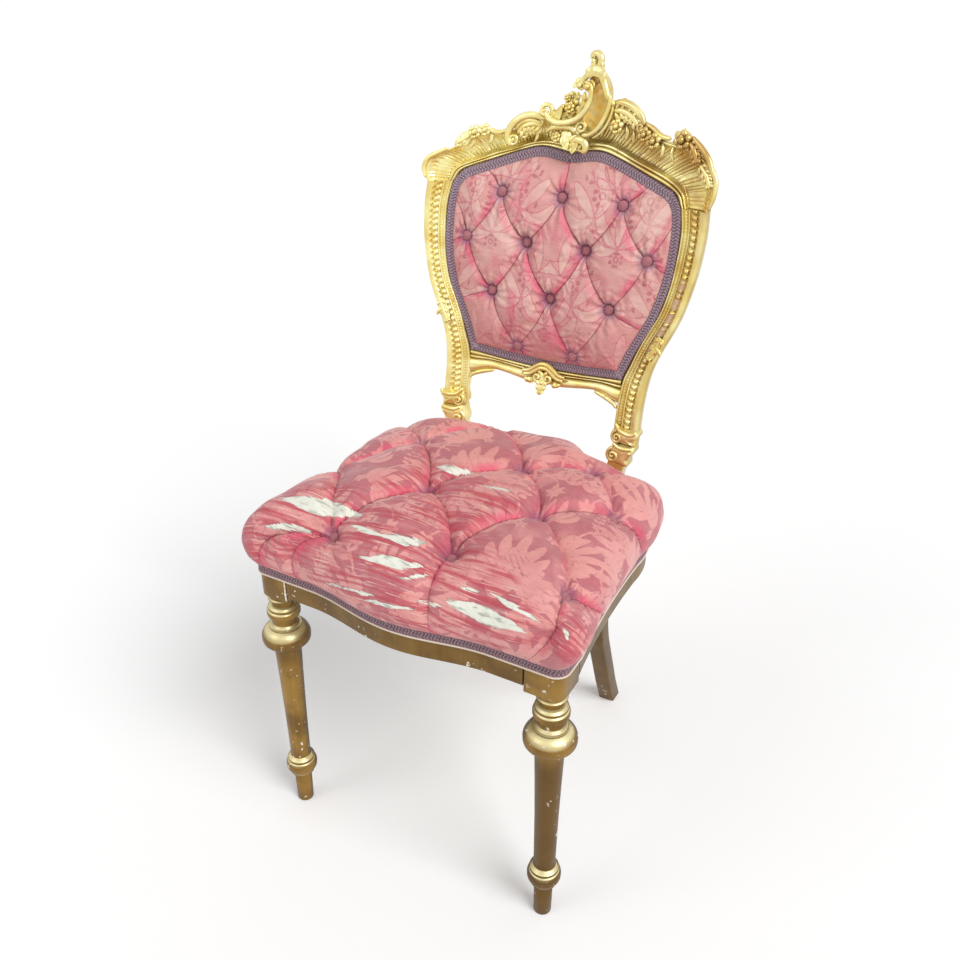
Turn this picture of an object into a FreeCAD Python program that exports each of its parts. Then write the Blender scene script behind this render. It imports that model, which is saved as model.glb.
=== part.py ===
import FreeCAD, Part
import math
import os
from types import SimpleNamespace

import Sketcher
from FreeCAD import Placement, Rotation, Vector

# A gilt parlor side chair with a deep-buttoned sprung seat and a moulded, serpentine back.
# Millimetres. +Z is up, the front of the chair faces -Y, and the origin lies on the floor under
# the middle of the chair. Every piece is drawn with Y counted back from the front leg axes.

# Driving dimensions
DRIVING_SIZES = {
    # Front legs: two turned shafts with a square block on top
    "leg_spacing": 364,
    "leg_setback": 190,
    "foot_radius": 10.5,
    "foot_height": 47,
    "foot_edge": 3,
    "band_radius": 17,
    "ring_radius": 20.2,
    "ring_height": 67,
    "ring_half_depth": 9,
    "shaft_low_radius": 12.8,
    "shaft_low_height": 84,
    "shaft_high_radius": 16.8,
    "shaft_drop": 81,
    "bulb_radius": 30,
    "bulb_drop": 65,
    "bulb_under": 12,
    "bulb_over": 14.5,
    "bulb_shoulder_radius": 20.4,
    "shoulder_lip": 1.6,
    "waist_radius": 14,
    "waist_cove": 6,
    "collar_radius": 20.4,
    "collar_drop": 26.5,
    "collar_half_depth": 8.5,
    "cap_radius": 17.4,
    "cap_drop": 6,
    "cap_depth": 4,
    "neck_radius": 13,
    "block_drop": 7,
    "block_out": 19,
    "block_in": 25,
    "block_round": 14,
    # Seat frame
    "rail_base": 352,
    "rail_height": 60,
    "rail_thickness": 22,
    "front_bow": 17,
    "bow_half_span": 120,
    "waist_inset": 13,
    "waist_depth": 215,
    "waist_hollow": 4,
    "rear_round": 24,
    "brace_reach": 48,
    "brace_height": 36,
    "brace_drop": 8,
    # Back posts: sabre legs below the seat, moulded stiles above it
    "post_half_spacing": 108,
    "post_depth": 318,
    "post_width": 24,
    "post_thickness": 26,
    "sabre_sweep": 81,
    "sabre_inset": 6,
    "neck_width": 21,
    "ankle_rise": 43,
    "ankle_low_height": 28,
    "ankle_low_width": 40,
    "ankle_high_height": 17,
    "ankle_high_width": 37,
    "ankle_offset": 122,
    "ankle_round": 6,
    "ankle_proud": 4,
    # Back frame: leans back and is hollowed in plan
    "back_base_rise": 75,
    "back_offset": 6,
    "back_lean": 11,
    "back_sag": 25,
    "back_half_width": 186,
    "frame_thickness": 26,
    "panel_half_width": 156.6,
    "panel_rise": 137,
    "panel_height": 267,
    "rebate_width": 9,
    "rebate_depth": 9,
    "bead_width": 8,
    "bead_proud": 6.5,
    "edge_width": 9,
    "edge_proud": 8,
    "crest_rise": 46,
    "cresting_rise": 62,
    "cresting_front": 3,
    "cresting_depth": 18,
    "lower_rail_height": 21,
    "lower_rail_thickness": 24,
    "drop_width": 30,
    "drop_height": 9,
    # Dowels and screws
    "dowel_radius": 4,
    "dowel_length": 32,
    "dowel_low": 12,
    "dowel_pitch": 24,
    "fit_clearance": 0.05,
    "screw_radius": 2,
    "screw_head_radius": 4.2,
    "screw_length": 26,
    "screw_head_depth": 3,
    # Seat upholstery
    "webbing_width": 50,
    "webbing_thickness": 1.2,
    "webbing_pitch": 70,
    "webbing_first_row": 70,
    "canvas_thickness": 1.2,
    "canvas_inset": 8,
    "spring_wire_radius": 1.9,
    "spring_end_radius": 37,
    "spring_waist_radius": 25,
    "stuffing_height": 26,
    "stuffing_inset": 14,
    "cushion_rise": 79,
    "cushion_middle": 148,
    "skirt_thickness": 5,
    "soft_clearance": 0.3,
    "gimp_rise": 27,
    "gimp_height": 12.6,
    "gimp_thickness": 2.4,
    "button_radius": 6.75,
    "button_depth": 6,
    "seat_tuft_pitch": 136,
    "seat_tuft_row_pitch": 88,
    "seat_tuft_first_row": 12,
    "seat_tuft_offset": -23,
    "pleat_lift": 9,
    # Back upholstery
    "pad_crown": 21,
    "pad_swell_radius": 480,
    "back_tuft_pitch": 81,
    "back_tuft_sink": 4,
    "back_pleat_lift": 2,
    "back_webbing_spread": 46,
    "outside_cover_thickness": 1.2,
    # Room for cutting tools past the faces that they cut
    "overrun": 60,
}

# Outlines as shares of the sizes that they follow
SABRE_SHARES = (
    (0.0, 1.0, 1.0), (0.07, 0.87, 1.0), (0.142, 0.722, 1.0), (0.256, 0.518, 1.0), (0.361, 0.333, 1.0),
    (0.455, 0.165, 0.95), (0.568, 0.05, 0.8), (0.71, 0.006, 0.5), (0.86, 0.0, 0.15), (1.0, 0.0, 0.0),
)
STILE_SHARES = (
    (0.0, 0.68, 0.905, 0.3), (0.09, 0.68, 0.902, 0.5), (0.18, 0.682, 0.902, 0.8), (0.26, 0.7, 0.915, 1.0),
    (0.332, 0.745, 0.94, 1.0),
    (0.404, 0.794, 0.99, 1.0), (0.482, 0.856, 1.052, 1.0), (0.568, 0.926, 1.111, 1.0),
    (0.671, 0.974, 1.156, 1.0), (0.775, 0.995, 1.188, 1.0), (0.9, 1.0, 1.2, 1.0), (1.0, 0.968, 1.191, 1.0),
)
STILE_PROFILE_SHARES = (
    (0.0, 0.24), (0.03, 0.13), (0.1, 0.1), (0.15, 0.19), (0.22, 0.33), (0.38, 0.36), (0.5, 0.24),
    (0.53, 0.13), (0.6, 0.11), (0.66, 0.19), (0.72, 0.18), (0.79, 0.03), (0.89, 0.02), (0.97, 0.14),
    (1.0, 0.42), (0.95, 0.9), (0.88, 1.0),
)
PANEL_SIDE_SHARES = ((0.687, 0.033), (0.781, 0.172), (0.906, 0.326), (0.987, 0.509), (1.0, 0.697))
PANEL_SHOULDER_SHARES = ((1.0, 0.697), (0.968, 0.8165), (0.888, 0.876))
PANEL_TOP_SHARES = ((0.888, 0.876), (0.631, 0.931), (0.388, 0.981), (0.224, 1.0), (0.0, 0.981))
PANEL_BOTTOM_SHARES = ((0.0, 0.0), (0.36, 0.012), (0.687, 0.033))
CREST_TOP_SHARES = (
    (1.0, 0.0), (0.992, 0.29), (0.92, 0.42), (0.75, 0.56), (0.536, 0.69), (0.32, 0.84), (0.0, 1.0),
)
LOWER_EDGE_SHARES = ((0.0, 0.0), (0.16, 0.02), (0.47, -0.31), (0.64, 0.05), (0.675, 0.1))
CARTOUCHE_SHARES = (
    (-0.32, -0.1), (-0.23, -0.05), (-0.16, -0.02), (-0.12, 0.16), (-0.04, 0.34), (0.015, 0.52), (0.075, 0.69),
    (0.068, 0.85), (0.11, 1.0), (0.152, 0.9), (0.168, 0.72), (0.225, 0.42), (0.305, 0.25), (0.38, 0.17),
)
RIGHT_LEAF_SHARES = (
    (0.38, 0.17), (0.49, 0.06), (0.6, -0.15), (0.68, -0.2), (0.735, -0.07), (0.79, -0.06), (0.84, -0.2),
    (0.92, -0.33), (0.985, -0.56),
)
LEFT_LEAF_SHARES = (
    (-0.32, -0.1), (-0.41, -0.18), (-0.5, -0.33), (-0.57, -0.3), (-0.645, -0.27), (-0.715, -0.41),
    (-0.78, -0.56),
)
DROP_SHARES = ((1.0, 0.0), (0.5, -0.75), (0.0, -1.0))
REAR_INNER_SHARE = 0.75
BACK_DOWEL_DEPTH_SHARE = 0.62
BRACE_SCREW_SHARE = 0.42
CUSHION_SECTION_SHARES = (
    (0.0, 1.0), (0.28, 1.05), (0.52, 1.01), (0.72, 0.9), (0.88, 0.7), (0.97, 0.45), (1.0, 0.2),
)
STUFFING_TOP_SHARE = 0.9
TUFT_REACH_SHARE = 0.75
TUFT_SLOPE_SHARE = 0.55
PLEAT_SLOPE_SHARE = 0.4
NEIGHBOUR_SHARE = 0.75
SEAT_TUFT_HEIGHT_SHARES = ((0.54, 0.56, 0.44), (0.62, 0.7, 0.68), (0.68, 0.74, 0.54), (0.72, 0.66))
SEAT_TUFT_COLUMN_SHARES = ((-0.5, 0.5, 1.5), (-1.0, 0.0, 1.0), (-0.5, 0.5, 1.5), (0.0, 1.0))
BACK_TUFT_ROW_SHARES = (0.097, 0.345, 0.582, 0.794)
BACK_TUFT_COLUMN_SHARES = ((-0.48, 0.48), (-1.0, 0.0, 1.0), (-1.5, -0.5, 0.5, 1.5), (-1.0, 0.0, 1.0))
SPRING_TURNS = 3
SPRING_CLOSED_SHARE = 0.12


class Size(float):
    """A length of the sheet, or one worked out from such lengths, with the expression that binds it."""

    def __new__(cls, value, text):
        made = float.__new__(cls, value)
        made.text = text
        return made

    @staticmethod
    def written(number):
        """Give a number's expression."""
        return getattr(number, "text", repr(number))

    def __add__(self, other):
        return Size(float(self) + float(other), f"({self.text} + {self.written(other)})")

    def __sub__(self, other):
        return Size(float(self) - float(other), f"({self.text} - {self.written(other)})")

    def __mul__(self, other):
        return Size(float(self) * float(other), f"({self.text} * {self.written(other)})")

    def __truediv__(self, other):
        return Size(float(self) / float(other), f"({self.text} / {self.written(other)})")

    def __neg__(self):
        return Size(-float(self), f"(0 - {self.text})")

    __radd__ = __add__
    __rmul__ = __mul__


def read_sizes(document):
    """Write the driving dimensions into a sheet and give them back as named sizes."""
    sheet = document.addObject("Spreadsheet::Sheet", "Sizes")
    for row, (name, value) in enumerate(DRIVING_SIZES.items(), start=1):
        sheet.set(f"A{row}", name)
        sheet.set(f"B{row}", str(value))
        sheet.setAlias(f"B{row}", name)
    document.recompute()
    return SimpleNamespace(**{name: Size(sheet.get(name), f"Sizes.{name}") for name in DRIVING_SIZES})


doc = FreeCAD.newDocument("parlor_chair")
dim = read_sizes(doc)
SIDES = (("left", -1), ("right", 1))
nodes = {}

# Levels and faces that several pieces share
rail_top = dim.rail_base + dim.rail_height
turning_height = dim.rail_base - dim.block_drop
ankle_base = rail_top + dim.ankle_rise
panel_base = rail_top + dim.panel_rise
stile_top = panel_base + PANEL_SHOULDER_SHARES[1][1] * dim.panel_height
crest_height = panel_base + dim.panel_height + dim.crest_rise
cresting_top = crest_height + dim.cresting_rise
crest_half_width = STILE_SHARES[-1][2] * dim.panel_half_width
cushion_crown = rail_top + dim.cushion_rise
leg_half_spacing = dim.leg_spacing / 2
seat_half = leg_half_spacing + dim.block_out
waist_half = seat_half - dim.waist_inset
post_outer = dim.post_half_spacing + dim.post_width / 2
post_inner = dim.post_half_spacing - dim.post_width / 2
seat_rear = dim.post_depth + dim.rail_thickness / 2 - dim.fit_clearance
lean = math.tan(math.radians(dim.back_lean))
back_normal = Vector(0, -math.cos(math.radians(dim.back_lean)), math.sin(math.radians(dim.back_lean)))
panel_middle = panel_base + dim.panel_height / 2


def keep(label, made):
    """Name a finished piece, which then names its file."""
    made.Label = label
    nodes[label] = made
    return made


def keep_shape(label, shape):
    """Make a piece of the document from a shape drawn in the leg axes' frame."""
    feature = doc.addObject("Part::Feature", label)
    feature.Shape = shape
    feature.Placement = Placement(Vector(0, -dim.leg_setback, 0), Rotation())
    return keep(label, feature)


def new_body(label, across):
    """Start a body whose own origin lies on the floor, level with the front leg axes."""
    body = doc.addObject("PartDesign::Body", label)
    body.setExpression("Placement.Base.x", Size.written(across))
    body.setExpression("Placement.Base.y", (-dim.leg_setback).text)
    return body


def corner_arc(start, end, radius, turn):
    """Give the arc between two corners that swells to the right of travel (turn 1) or to the left (-1)."""
    along = end - start
    right = Vector(along.y, -along.x, 0).normalize()
    rise = math.sqrt(max(radius * radius - along.Length * along.Length / 4, 0))
    centre = (start + end) / 2 - right * (rise * turn)
    first, last = (start, end) if turn > 0 else (end, start)
    begin = math.atan2(first.y - centre.y, first.x - centre.x)
    finish = math.atan2(last.y - centre.y, last.x - centre.x)
    if finish < begin:
        finish += 2 * math.pi
    return Part.ArcOfCircle(Part.Circle(centre, Vector(0, 0, 1), float(radius)), begin, finish)


def bound_sketch(body, name, role, corners, level=None):
    """Draw a closed outline whose corners, and arcs, are held by sizes of the sheet.

    Each corner is (u, v), or (u, v, radius, turn) where the side that leads to it is an arc.
    """
    sketch = body.newObject("Sketcher::SketchObject", name)
    plane = next(item for item in body.Origin.OriginFeatures if item.Role == role)
    sketch.AttachmentSupport = [(plane, "")]
    sketch.MapMode = "FlatFace"
    if level is not None:
        sketch.setExpression("AttachmentOffset.Base.z", level.text)
    places = [Vector(float(corner[0]), float(corner[1]), 0) for corner in corners]
    ends = []
    for index, corner in enumerate(corners):
        start, end = places[index - 1], places[index]
        if len(corner) == 2:
            side = sketch.addGeometry(Part.LineSegment(start, end))
            ends.append((side, 1, 2))
        else:
            side = sketch.addGeometry(corner_arc(start, end, corner[2], corner[3]))
            ends.append((side, 1, 2) if corner[3] > 0 else (side, 2, 1))
    for index, corner in enumerate(corners):
        side, _, last = ends[index]
        following, first, _ = ends[(index + 1) % len(ends)]
        sketch.addConstraint(Sketcher.Constraint("Coincident", side, last, following, first))
        for kind, value in (("DistanceX", corner[0]), ("DistanceY", corner[1])):
            held = sketch.addConstraint(Sketcher.Constraint(kind, -1, 1, side, last, float(value)))
            if isinstance(value, Size):
                sketch.setExpression(f"Constraints[{held}]", value.text)
        if len(corner) == 4:
            held = sketch.addConstraint(Sketcher.Constraint("Radius", side, float(corner[2])))
            sketch.setExpression(f"Constraints[{held}]", corner[2].text)
    return sketch


def pad(body, name, sketch, length):
    """Raise a sketch by a bound length."""
    feature = body.newObject("PartDesign::Pad", name)
    feature.Profile = sketch
    feature.setExpression("Length", length.text)
    return feature


def arc_radius(across, along, rise):
    """Give the radius of an arc from its chord, as two legs, and its rise."""
    return ((across * across + along * along) / 4 + rise * rise) / (2 * rise)


def cylinder(start, direction, radius, length):
    """Make a cylinder from its first end."""
    return Part.makeCylinder(float(radius), float(length), start, direction)


def share_points(shares, width, base, height, side=1):
    """Place outline shares in the front elevation, as points across and up."""
    return [(side * across * width, base + up * height) for across, up in shares]


# Front legs
def turned_profile():
    """Give the half outline of a turned leg, from the floor to its block."""
    quirk = dim.foot_radius + dim.foot_edge
    ring_low = dim.ring_height - dim.ring_half_depth
    ring_high = dim.ring_height + dim.ring_half_depth
    ring_neck = dim.ring_radius - dim.ring_half_depth / 2
    band_neck = dim.band_radius - dim.foot_edge
    shaft_high = turning_height - dim.shaft_drop
    bulb_middle = turning_height - dim.bulb_drop
    bulb_low = bulb_middle - dim.bulb_under
    bulb_high = bulb_middle + dim.bulb_over
    bulb_neck = dim.bulb_radius - dim.bulb_under
    collar_middle = turning_height - dim.collar_drop
    collar_low = collar_middle - dim.collar_half_depth
    collar_high = collar_middle + dim.collar_half_depth
    collar_neck = dim.collar_radius - dim.foot_edge
    collar_bevel = dim.neck_radius + dim.foot_edge
    cap_low = turning_height - dim.cap_drop
    cap_high = cap_low + dim.cap_depth
    cap_quirk = dim.cap_radius - dim.foot_edge / 2
    shoulder_high = bulb_high + dim.shoulder_lip
    zero = dim.foot_edge * 0
    band_arc = arc_radius(zero, ring_low - dim.foot_height, dim.band_radius - band_neck)
    ring_arc = arc_radius(zero, ring_high - ring_low, dim.ring_radius - ring_neck)
    shoulder_arc = arc_radius(zero, dim.bulb_over * 2, dim.bulb_radius - dim.bulb_shoulder_radius)
    collar_arc = arc_radius(zero, collar_high - collar_middle, dim.collar_radius - collar_neck)
    cap_arc = arc_radius(zero, dim.cap_depth * 1.0, dim.foot_edge / 2)
    return [
        (0, 0),
        (dim.foot_radius - dim.foot_edge, 0),
        (dim.foot_radius, dim.foot_edge, dim.foot_edge * 1.0, 1),
        (dim.foot_radius, dim.foot_height),
        (band_neck, dim.foot_height),
        (band_neck, ring_low, band_arc, 1),
        (ring_neck, ring_low),
        (ring_neck, ring_high, ring_arc, 1),
        (quirk, ring_high),
        (dim.shaft_low_radius, dim.shaft_low_height),
        (dim.shaft_high_radius, shaft_high),
        (bulb_neck, shaft_high),
        (bulb_neck, bulb_low),
        (dim.bulb_radius, bulb_middle, dim.bulb_under * 1.0, 1),
        (dim.bulb_shoulder_radius, bulb_high, shoulder_arc, 1),
        (dim.bulb_shoulder_radius, shoulder_high),
        (dim.waist_radius + dim.waist_cove, shoulder_high),
        (dim.waist_radius, shoulder_high + dim.waist_cove, dim.waist_cove * 1.0, -1),
        (dim.waist_radius, collar_low),
        (collar_neck, collar_low),
        (collar_neck, collar_middle, collar_arc, 1),
        (collar_bevel, collar_high),
        (dim.neck_radius, collar_high),
        (dim.neck_radius, cap_low),
        (cap_quirk, cap_low),
        (cap_quirk, cap_high, cap_arc, 1),
        (dim.block_out, turning_height),
        (0, turning_height),
    ]


def front_leg(side_name, side):
    """Make a turned front leg with its block, drilled for the rails' dowels."""
    body = new_body(f"front_leg_{side_name}_body", side * leg_half_spacing)
    turning = body.newObject("PartDesign::Revolution", "turning")
    turning.Profile = bound_sketch(body, "turned_profile", "XZ_Plane", turned_profile())
    turning.ReferenceAxis = (turning.Profile[0], ["V_Axis"])
    turning.Angle = 360
    inner = -side * dim.block_in
    outer = side * dim.block_out
    plan = bound_sketch(body, "block_plan", "XY_Plane", [
        (inner, -dim.block_out),
        (outer - side * dim.block_round, -dim.block_out),
        (outer, dim.block_round - dim.block_out, dim.block_round * 1.0, side),
        (outer, dim.block_in),
        (inner, dim.block_in),
    ], turning_height)
    pad(body, "block", plan, rail_top - turning_height)
    doc.recompute()
    return body


# Seat rails
def front_rail():
    """Make the serpentine front rail between the leg blocks."""
    body = new_body("front_seat_rail_body", 0)
    end = leg_half_spacing - dim.block_in
    face = -dim.block_out
    inflection = dim.bow_half_span / 2
    half_bow = dim.front_bow / 2
    curve = (inflection * inflection + half_bow * half_bow) / (2 * half_bow)
    plan = bound_sketch(body, "plan", "XY_Plane", [
        (-end, face),
        (-dim.bow_half_span, face),
        (-inflection, face - half_bow, curve, -1),
        (inflection, face - half_bow, curve, 1),
        (dim.bow_half_span, face, curve, -1),
        (end, face),
        (end, face + dim.rail_thickness),
        (-end, face + dim.rail_thickness),
    ], dim.rail_base)
    pad(body, "rail", plan, dim.rail_height)
    return body


def side_rail(side_name, side):
    """Make a side rail: slightly waisted, and rounding in to its back post."""
    body = new_body(f"side_seat_rail_{side_name}_body", 0)
    front = dim.block_in
    waist_arc = arc_radius(seat_half - waist_half, dim.waist_depth - front, dim.waist_hollow)
    inner_rear = seat_rear - dim.rail_thickness
    rear_arc = arc_radius(waist_half - post_outer, seat_rear - dim.waist_depth, dim.rear_round)
    inner_rise = dim.rear_round * REAR_INNER_SHARE
    inner_waist = waist_half - dim.rail_thickness
    inner_arc = arc_radius(inner_waist - post_outer, inner_rear - dim.waist_depth, inner_rise)
    plan = bound_sketch(body, "plan", "XY_Plane", [
        (side * seat_half, front),
        (side * waist_half, dim.waist_depth, waist_arc, -side),
        (side * post_outer, seat_rear, rear_arc, side),
        (side * post_outer, inner_rear),
        (side * inner_waist, dim.waist_depth, inner_arc, -side),
        (side * (seat_half - dim.rail_thickness), front, waist_arc, side),
    ], dim.rail_base)
    pad(body, "rail", plan, dim.rail_height)
    return body


def rear_rail():
    """Make the straight rear rail between the back posts."""
    body = new_body("rear_seat_rail_body", 0)
    front = dim.post_depth - dim.rail_thickness / 2
    plan = bound_sketch(body, "plan", "XY_Plane", [
        (-post_inner, front),
        (post_inner, front),
        (post_inner, seat_rear),
        (-post_inner, seat_rear),
    ], dim.rail_base)
    pad(body, "rail", plan, dim.rail_height)
    return body


# The leaning, hollowed back
def back_y(across, up):
    """Give the depth of the back's proudest front surface."""
    rise = (up - rail_top - dim.back_base_rise) * lean
    return dim.post_depth + dim.back_offset + rise - dim.back_sag * (across / dim.back_half_width) ** 2


def back_slab(front, rear):
    """Make the leaning, hollowed slab between two depths behind the back's front surface."""
    low = float(ankle_base)
    tall = float(cresting_top - ankle_base + dim.overrun)
    reach = float(dim.back_half_width + dim.overrun / 2)

    def plan_arc(depth):
        points = [Vector(across, back_y(across, low) + depth, low) for across in (-reach, 0, reach)]
        return Part.Arc(*points).toShape(), points[0], points[2]

    face_arc, face_left, face_right = plan_arc(float(front))
    rear_arc, rear_left, rear_right = plan_arc(float(rear))
    sides = [face_arc, Part.makeLine(face_right, rear_right), rear_arc, Part.makeLine(rear_left, face_left)]
    return Part.Face(Part.Wire(Part.__sortEdges__(sides))).extrude(Vector(0, tall * lean, tall))


def smooth_edge(points):
    """Join points of the front elevation with one smooth edge, or a line where there are two."""
    places = [Vector(across, 0, up) for across, up in points]
    if len(places) == 2:
        return Part.makeLine(*places)
    curve = Part.BSplineCurve()
    curve.interpolate(places)
    return curve.toShape()


def elevation(stretches):
    """Make the solid that fills a closed outline of the front elevation from front to rear of the chair."""
    edges = [smooth_edge(points) for points in stretches]
    face = Part.Face(Part.Wire(Part.__sortEdges__(edges)))
    deep = float(dim.post_depth + dim.sabre_sweep + dim.leg_setback)
    return face.extrude(Vector(0, deep, 0))


def shifted(points, distance):
    """Move the points of an open curve sideways, to the right of travel."""
    moved = []
    for index, (across, up) in enumerate(points):
        before = points[max(index - 1, 0)]
        after = points[min(index + 1, len(points) - 1)]
        step = math.hypot(after[0] - before[0], after[1] - before[1])
        moved.append((
            across + distance * (after[1] - before[1]) / step,
            up - distance * (after[0] - before[0]) / step,
        ))
    return moved


def mirrored(points):
    """Give the same curve on the other side, run the other way."""
    return [(-across, up) for across, up in reversed(points)]


def panel_curve(shares, grow):
    """Give a stretch of the panel's right half, moved outwards by grow."""
    points = share_points(shares, float(dim.panel_half_width), float(panel_base), float(dim.panel_height))
    return shifted(points, float(grow))


def panel_half(grow):
    """Give the panel's right half outline, from its lowest middle point up to its top middle point."""
    bottom = panel_curve(PANEL_BOTTOM_SHARES, grow)
    side = panel_curve(PANEL_SIDE_SHARES, grow)
    shoulder = panel_curve(PANEL_SHOULDER_SHARES, grow)
    top = panel_curve(PANEL_TOP_SHARES, grow)
    corner = (side[0][0], bottom[-1][1])
    bottom = bottom[:-1] + [corner]
    side = [corner] + side[1:-1]
    bottom[0] = (0.0, bottom[0][1])
    top[-1] = (0.0, top[-1][1])
    return bottom, side + shoulder[:-1] + [top[0]], top


def panel_solid(grow):
    """Make the elevation solid of the whole panel outline, moved outwards by grow."""
    bottom, side, top = panel_half(grow)
    return elevation([mirrored(bottom) + bottom[1:], side, top + mirrored(top)[1:], mirrored(side)])


# Back posts
def post_section(across, depth, up, width, thickness):
    """Give a level rectangle round the post's middle."""
    low_x, high_x = across - width / 2, across + width / 2
    low_y, high_y = depth - thickness / 2, depth + thickness / 2
    corners = [(low_x, low_y), (high_x, low_y), (high_x, high_y), (low_x, high_y), (low_x, low_y)]
    return Part.makePolygon([Vector(x, y, up) for x, y in corners])


def rounded_tier(across, base, width, height):
    """Make one tier of the ankle's capital, a block with all its edges rounded."""
    thick = float(dim.frame_thickness + 2 * dim.ankle_proud)
    middle = base + height / 2
    front = back_y(across, middle) - dim.ankle_proud
    block = Part.makeBox(float(width), thick, float(height), Vector(across - width / 2, front, base))
    return block.makeFillet(float(dim.ankle_round), block.Edges).Solids[0]


def stile_section(side, level_share, inner_share, outer_share, lip_share):
    """Give the moulded section of a stile at one level, with its rebate lip towards the panel."""
    base = ankle_base + dim.ankle_low_height
    up = float(base + level_share * (stile_top - base))
    inner = float(inner_share * dim.panel_half_width)
    outer = float(outer_share * dim.panel_half_width)
    lip = float(lip_share * dim.rebate_width)
    rebate = float(dim.rebate_depth / dim.frame_thickness)
    profile = [(inner + u * (outer - inner), v) for u, v in STILE_PROFILE_SHARES]
    profile = [(inner, rebate)] + profile + [(inner - lip, 1.0), (inner - lip, rebate)]
    thick = float(dim.frame_thickness)
    places = [Vector(side * x, back_y(x, up) + v * thick, up) for x, v in profile]
    return Part.makePolygon(places + places[:1])


def back_post(side):
    """Make one back post: sabre leg, seat joint, neck, ankle capital and moulded stile in one length."""
    width, thick = float(dim.post_width), float(dim.post_thickness)
    middle, depth = float(dim.post_half_spacing), float(dim.post_depth)
    leg = Part.makeLoft([
        post_section(side * (middle - inset * dim.sabre_inset), depth + sweep * dim.sabre_sweep,
                     level * dim.rail_base, width, thick)
        for level, sweep, inset in SABRE_SHARES
    ], True, False)
    joint = Part.makeBox(width, thick, float(dim.rail_height),
                         Vector(side * middle - width / 2, depth - thick / 2, float(dim.rail_base)))
    ankle = float(dim.ankle_offset)
    neck_top = float(ankle_base + dim.ankle_low_height / 2)
    neck_depth = back_y(ankle, neck_top) + dim.frame_thickness / 2
    neck = Part.makeLoft([
        post_section(side * middle, depth, float(rail_top), width, thick),
        post_section(side * ankle, float(neck_depth), neck_top, float(dim.neck_width), thick),
    ], True, True)
    low_tier = rounded_tier(side * ankle, ankle_base, dim.ankle_low_width, dim.ankle_low_height)
    high_base = ankle_base + dim.ankle_low_height
    high_tier = rounded_tier(side * ankle, high_base - dim.ankle_round / 2, dim.ankle_high_width,
                             dim.ankle_high_height + dim.ankle_round / 2)
    stile = Part.makeLoft([stile_section(side, *shares) for shares in STILE_SHARES], True, False, False, 2)
    return leg.multiFuse([joint, neck, low_tier, high_tier, stile])


# Crest, lower rail and their ornaments
def crest_top_points(inset):
    """Give the crest's top outline from its right end to the middle, moved inwards by inset."""
    points = share_points(CREST_TOP_SHARES, float(crest_half_width), float(stile_top),
                          float(crest_height - stile_top))
    moved = shifted(points, -float(inset))
    moved[0] = (moved[0][0], points[0][1])
    moved[-1] = (0.0, moved[-1][1])
    return moved


def crest_inner_points(grow):
    """Give the crest's lower outline from its right end to the middle, moved towards the top by grow."""
    shoulder = panel_curve(PANEL_SHOULDER_SHARES, grow)[1:-1]
    top = panel_curve(PANEL_TOP_SHARES, grow)
    end = (shoulder[0][0], float(stile_top))
    return [end] + top[:-1] + [(0.0, top[-1][1])]


def crest_band(low, high, front, rear):
    """Make one band of the crest between a lower and an upper half outline and two depths."""
    stretches = [low, [low[0], high[0]], high]
    edges = stretches + [mirrored(low), [(-low[0][0], low[0][1]), (-high[0][0], high[0][1])], mirrored(high)]
    return elevation(edges).common(back_slab(front, rear))


def crest_rail():
    """Make the arched crest rail: a hollowed board, a bead beside the panel and a rolled top edge."""
    deep = dim.rebate_depth
    top = crest_top_points(0)
    board = crest_band(crest_inner_points(-dim.rebate_width), top, deep, dim.frame_thickness)
    bead = crest_band(crest_inner_points(0), crest_inner_points(dim.bead_width), deep - dim.bead_proud, deep)
    roll = crest_band(crest_top_points(dim.edge_width), top, deep - dim.edge_proud, deep)
    return board.multiFuse([bead, roll])


def cresting(shares):
    """Make one carved ornament that stands on the crest's top edge."""
    high = float(cresting_top - crest_height)
    upper = share_points(shares, float(crest_half_width), float(crest_height), high)
    base = float(stile_top)
    first, last = (upper[0][0], base), (upper[-1][0], base)
    ornament = elevation([upper, [upper[-1], last], [last, first], [first, upper[0]]])
    top = crest_top_points(0)
    low = base - float(dim.overrun)
    right, left = (top[0][0], low), (-top[0][0], low)
    below = elevation([top + mirrored(top)[1:], [mirrored(top)[-1], left], [left, right], [right, top[0]]])
    slab = back_slab(dim.cresting_front, dim.cresting_front + dim.cresting_depth)
    pieces = ornament.common(slab).cut(below).Solids
    return max(pieces, key=lambda piece: piece.Volume)


def lower_rail_edges(drop):
    """Give the lower rail's bottom outline, right half, from the middle to its end."""
    points = share_points(LOWER_EDGE_SHARES, float(dim.panel_half_width),
                          float(panel_base - dim.lower_rail_height), -float(dim.lower_rail_height))
    return [(across, up + float(drop)) for across, up in points]


def lower_back_rail():
    """Make the moulded rail under the panel, ending against the two stiles."""
    end = float(PANEL_BOTTOM_SHARES[-1][0] * dim.panel_half_width - dim.fit_clearance)

    def band(low, high, front, rear):
        low = low[:-1] + [(end, low[-1][1])]
        high = high[:-1] + [(end, high[-1][1])]
        stretches = [mirrored(low) + low[1:], [low[-1], high[-1]], mirrored(high) + high[1:],
                     [(-low[-1][0], low[-1][1]), (-high[-1][0], high[-1][1])]]
        return elevation(stretches).common(back_slab(front, rear))

    deep = dim.rebate_depth
    low = lower_rail_edges(0)
    lip, _, _ = panel_half(-dim.rebate_width)
    edge, _, _ = panel_half(0)
    under, _, _ = panel_half(dim.bead_width)
    board = band(low, lip, deep, dim.lower_rail_thickness)
    bead = band(under, edge, deep - dim.bead_proud, deep)
    roll = band(low, lower_rail_edges(dim.bead_width), deep - dim.bead_proud, deep)
    return board.multiFuse([bead, roll])


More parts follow.
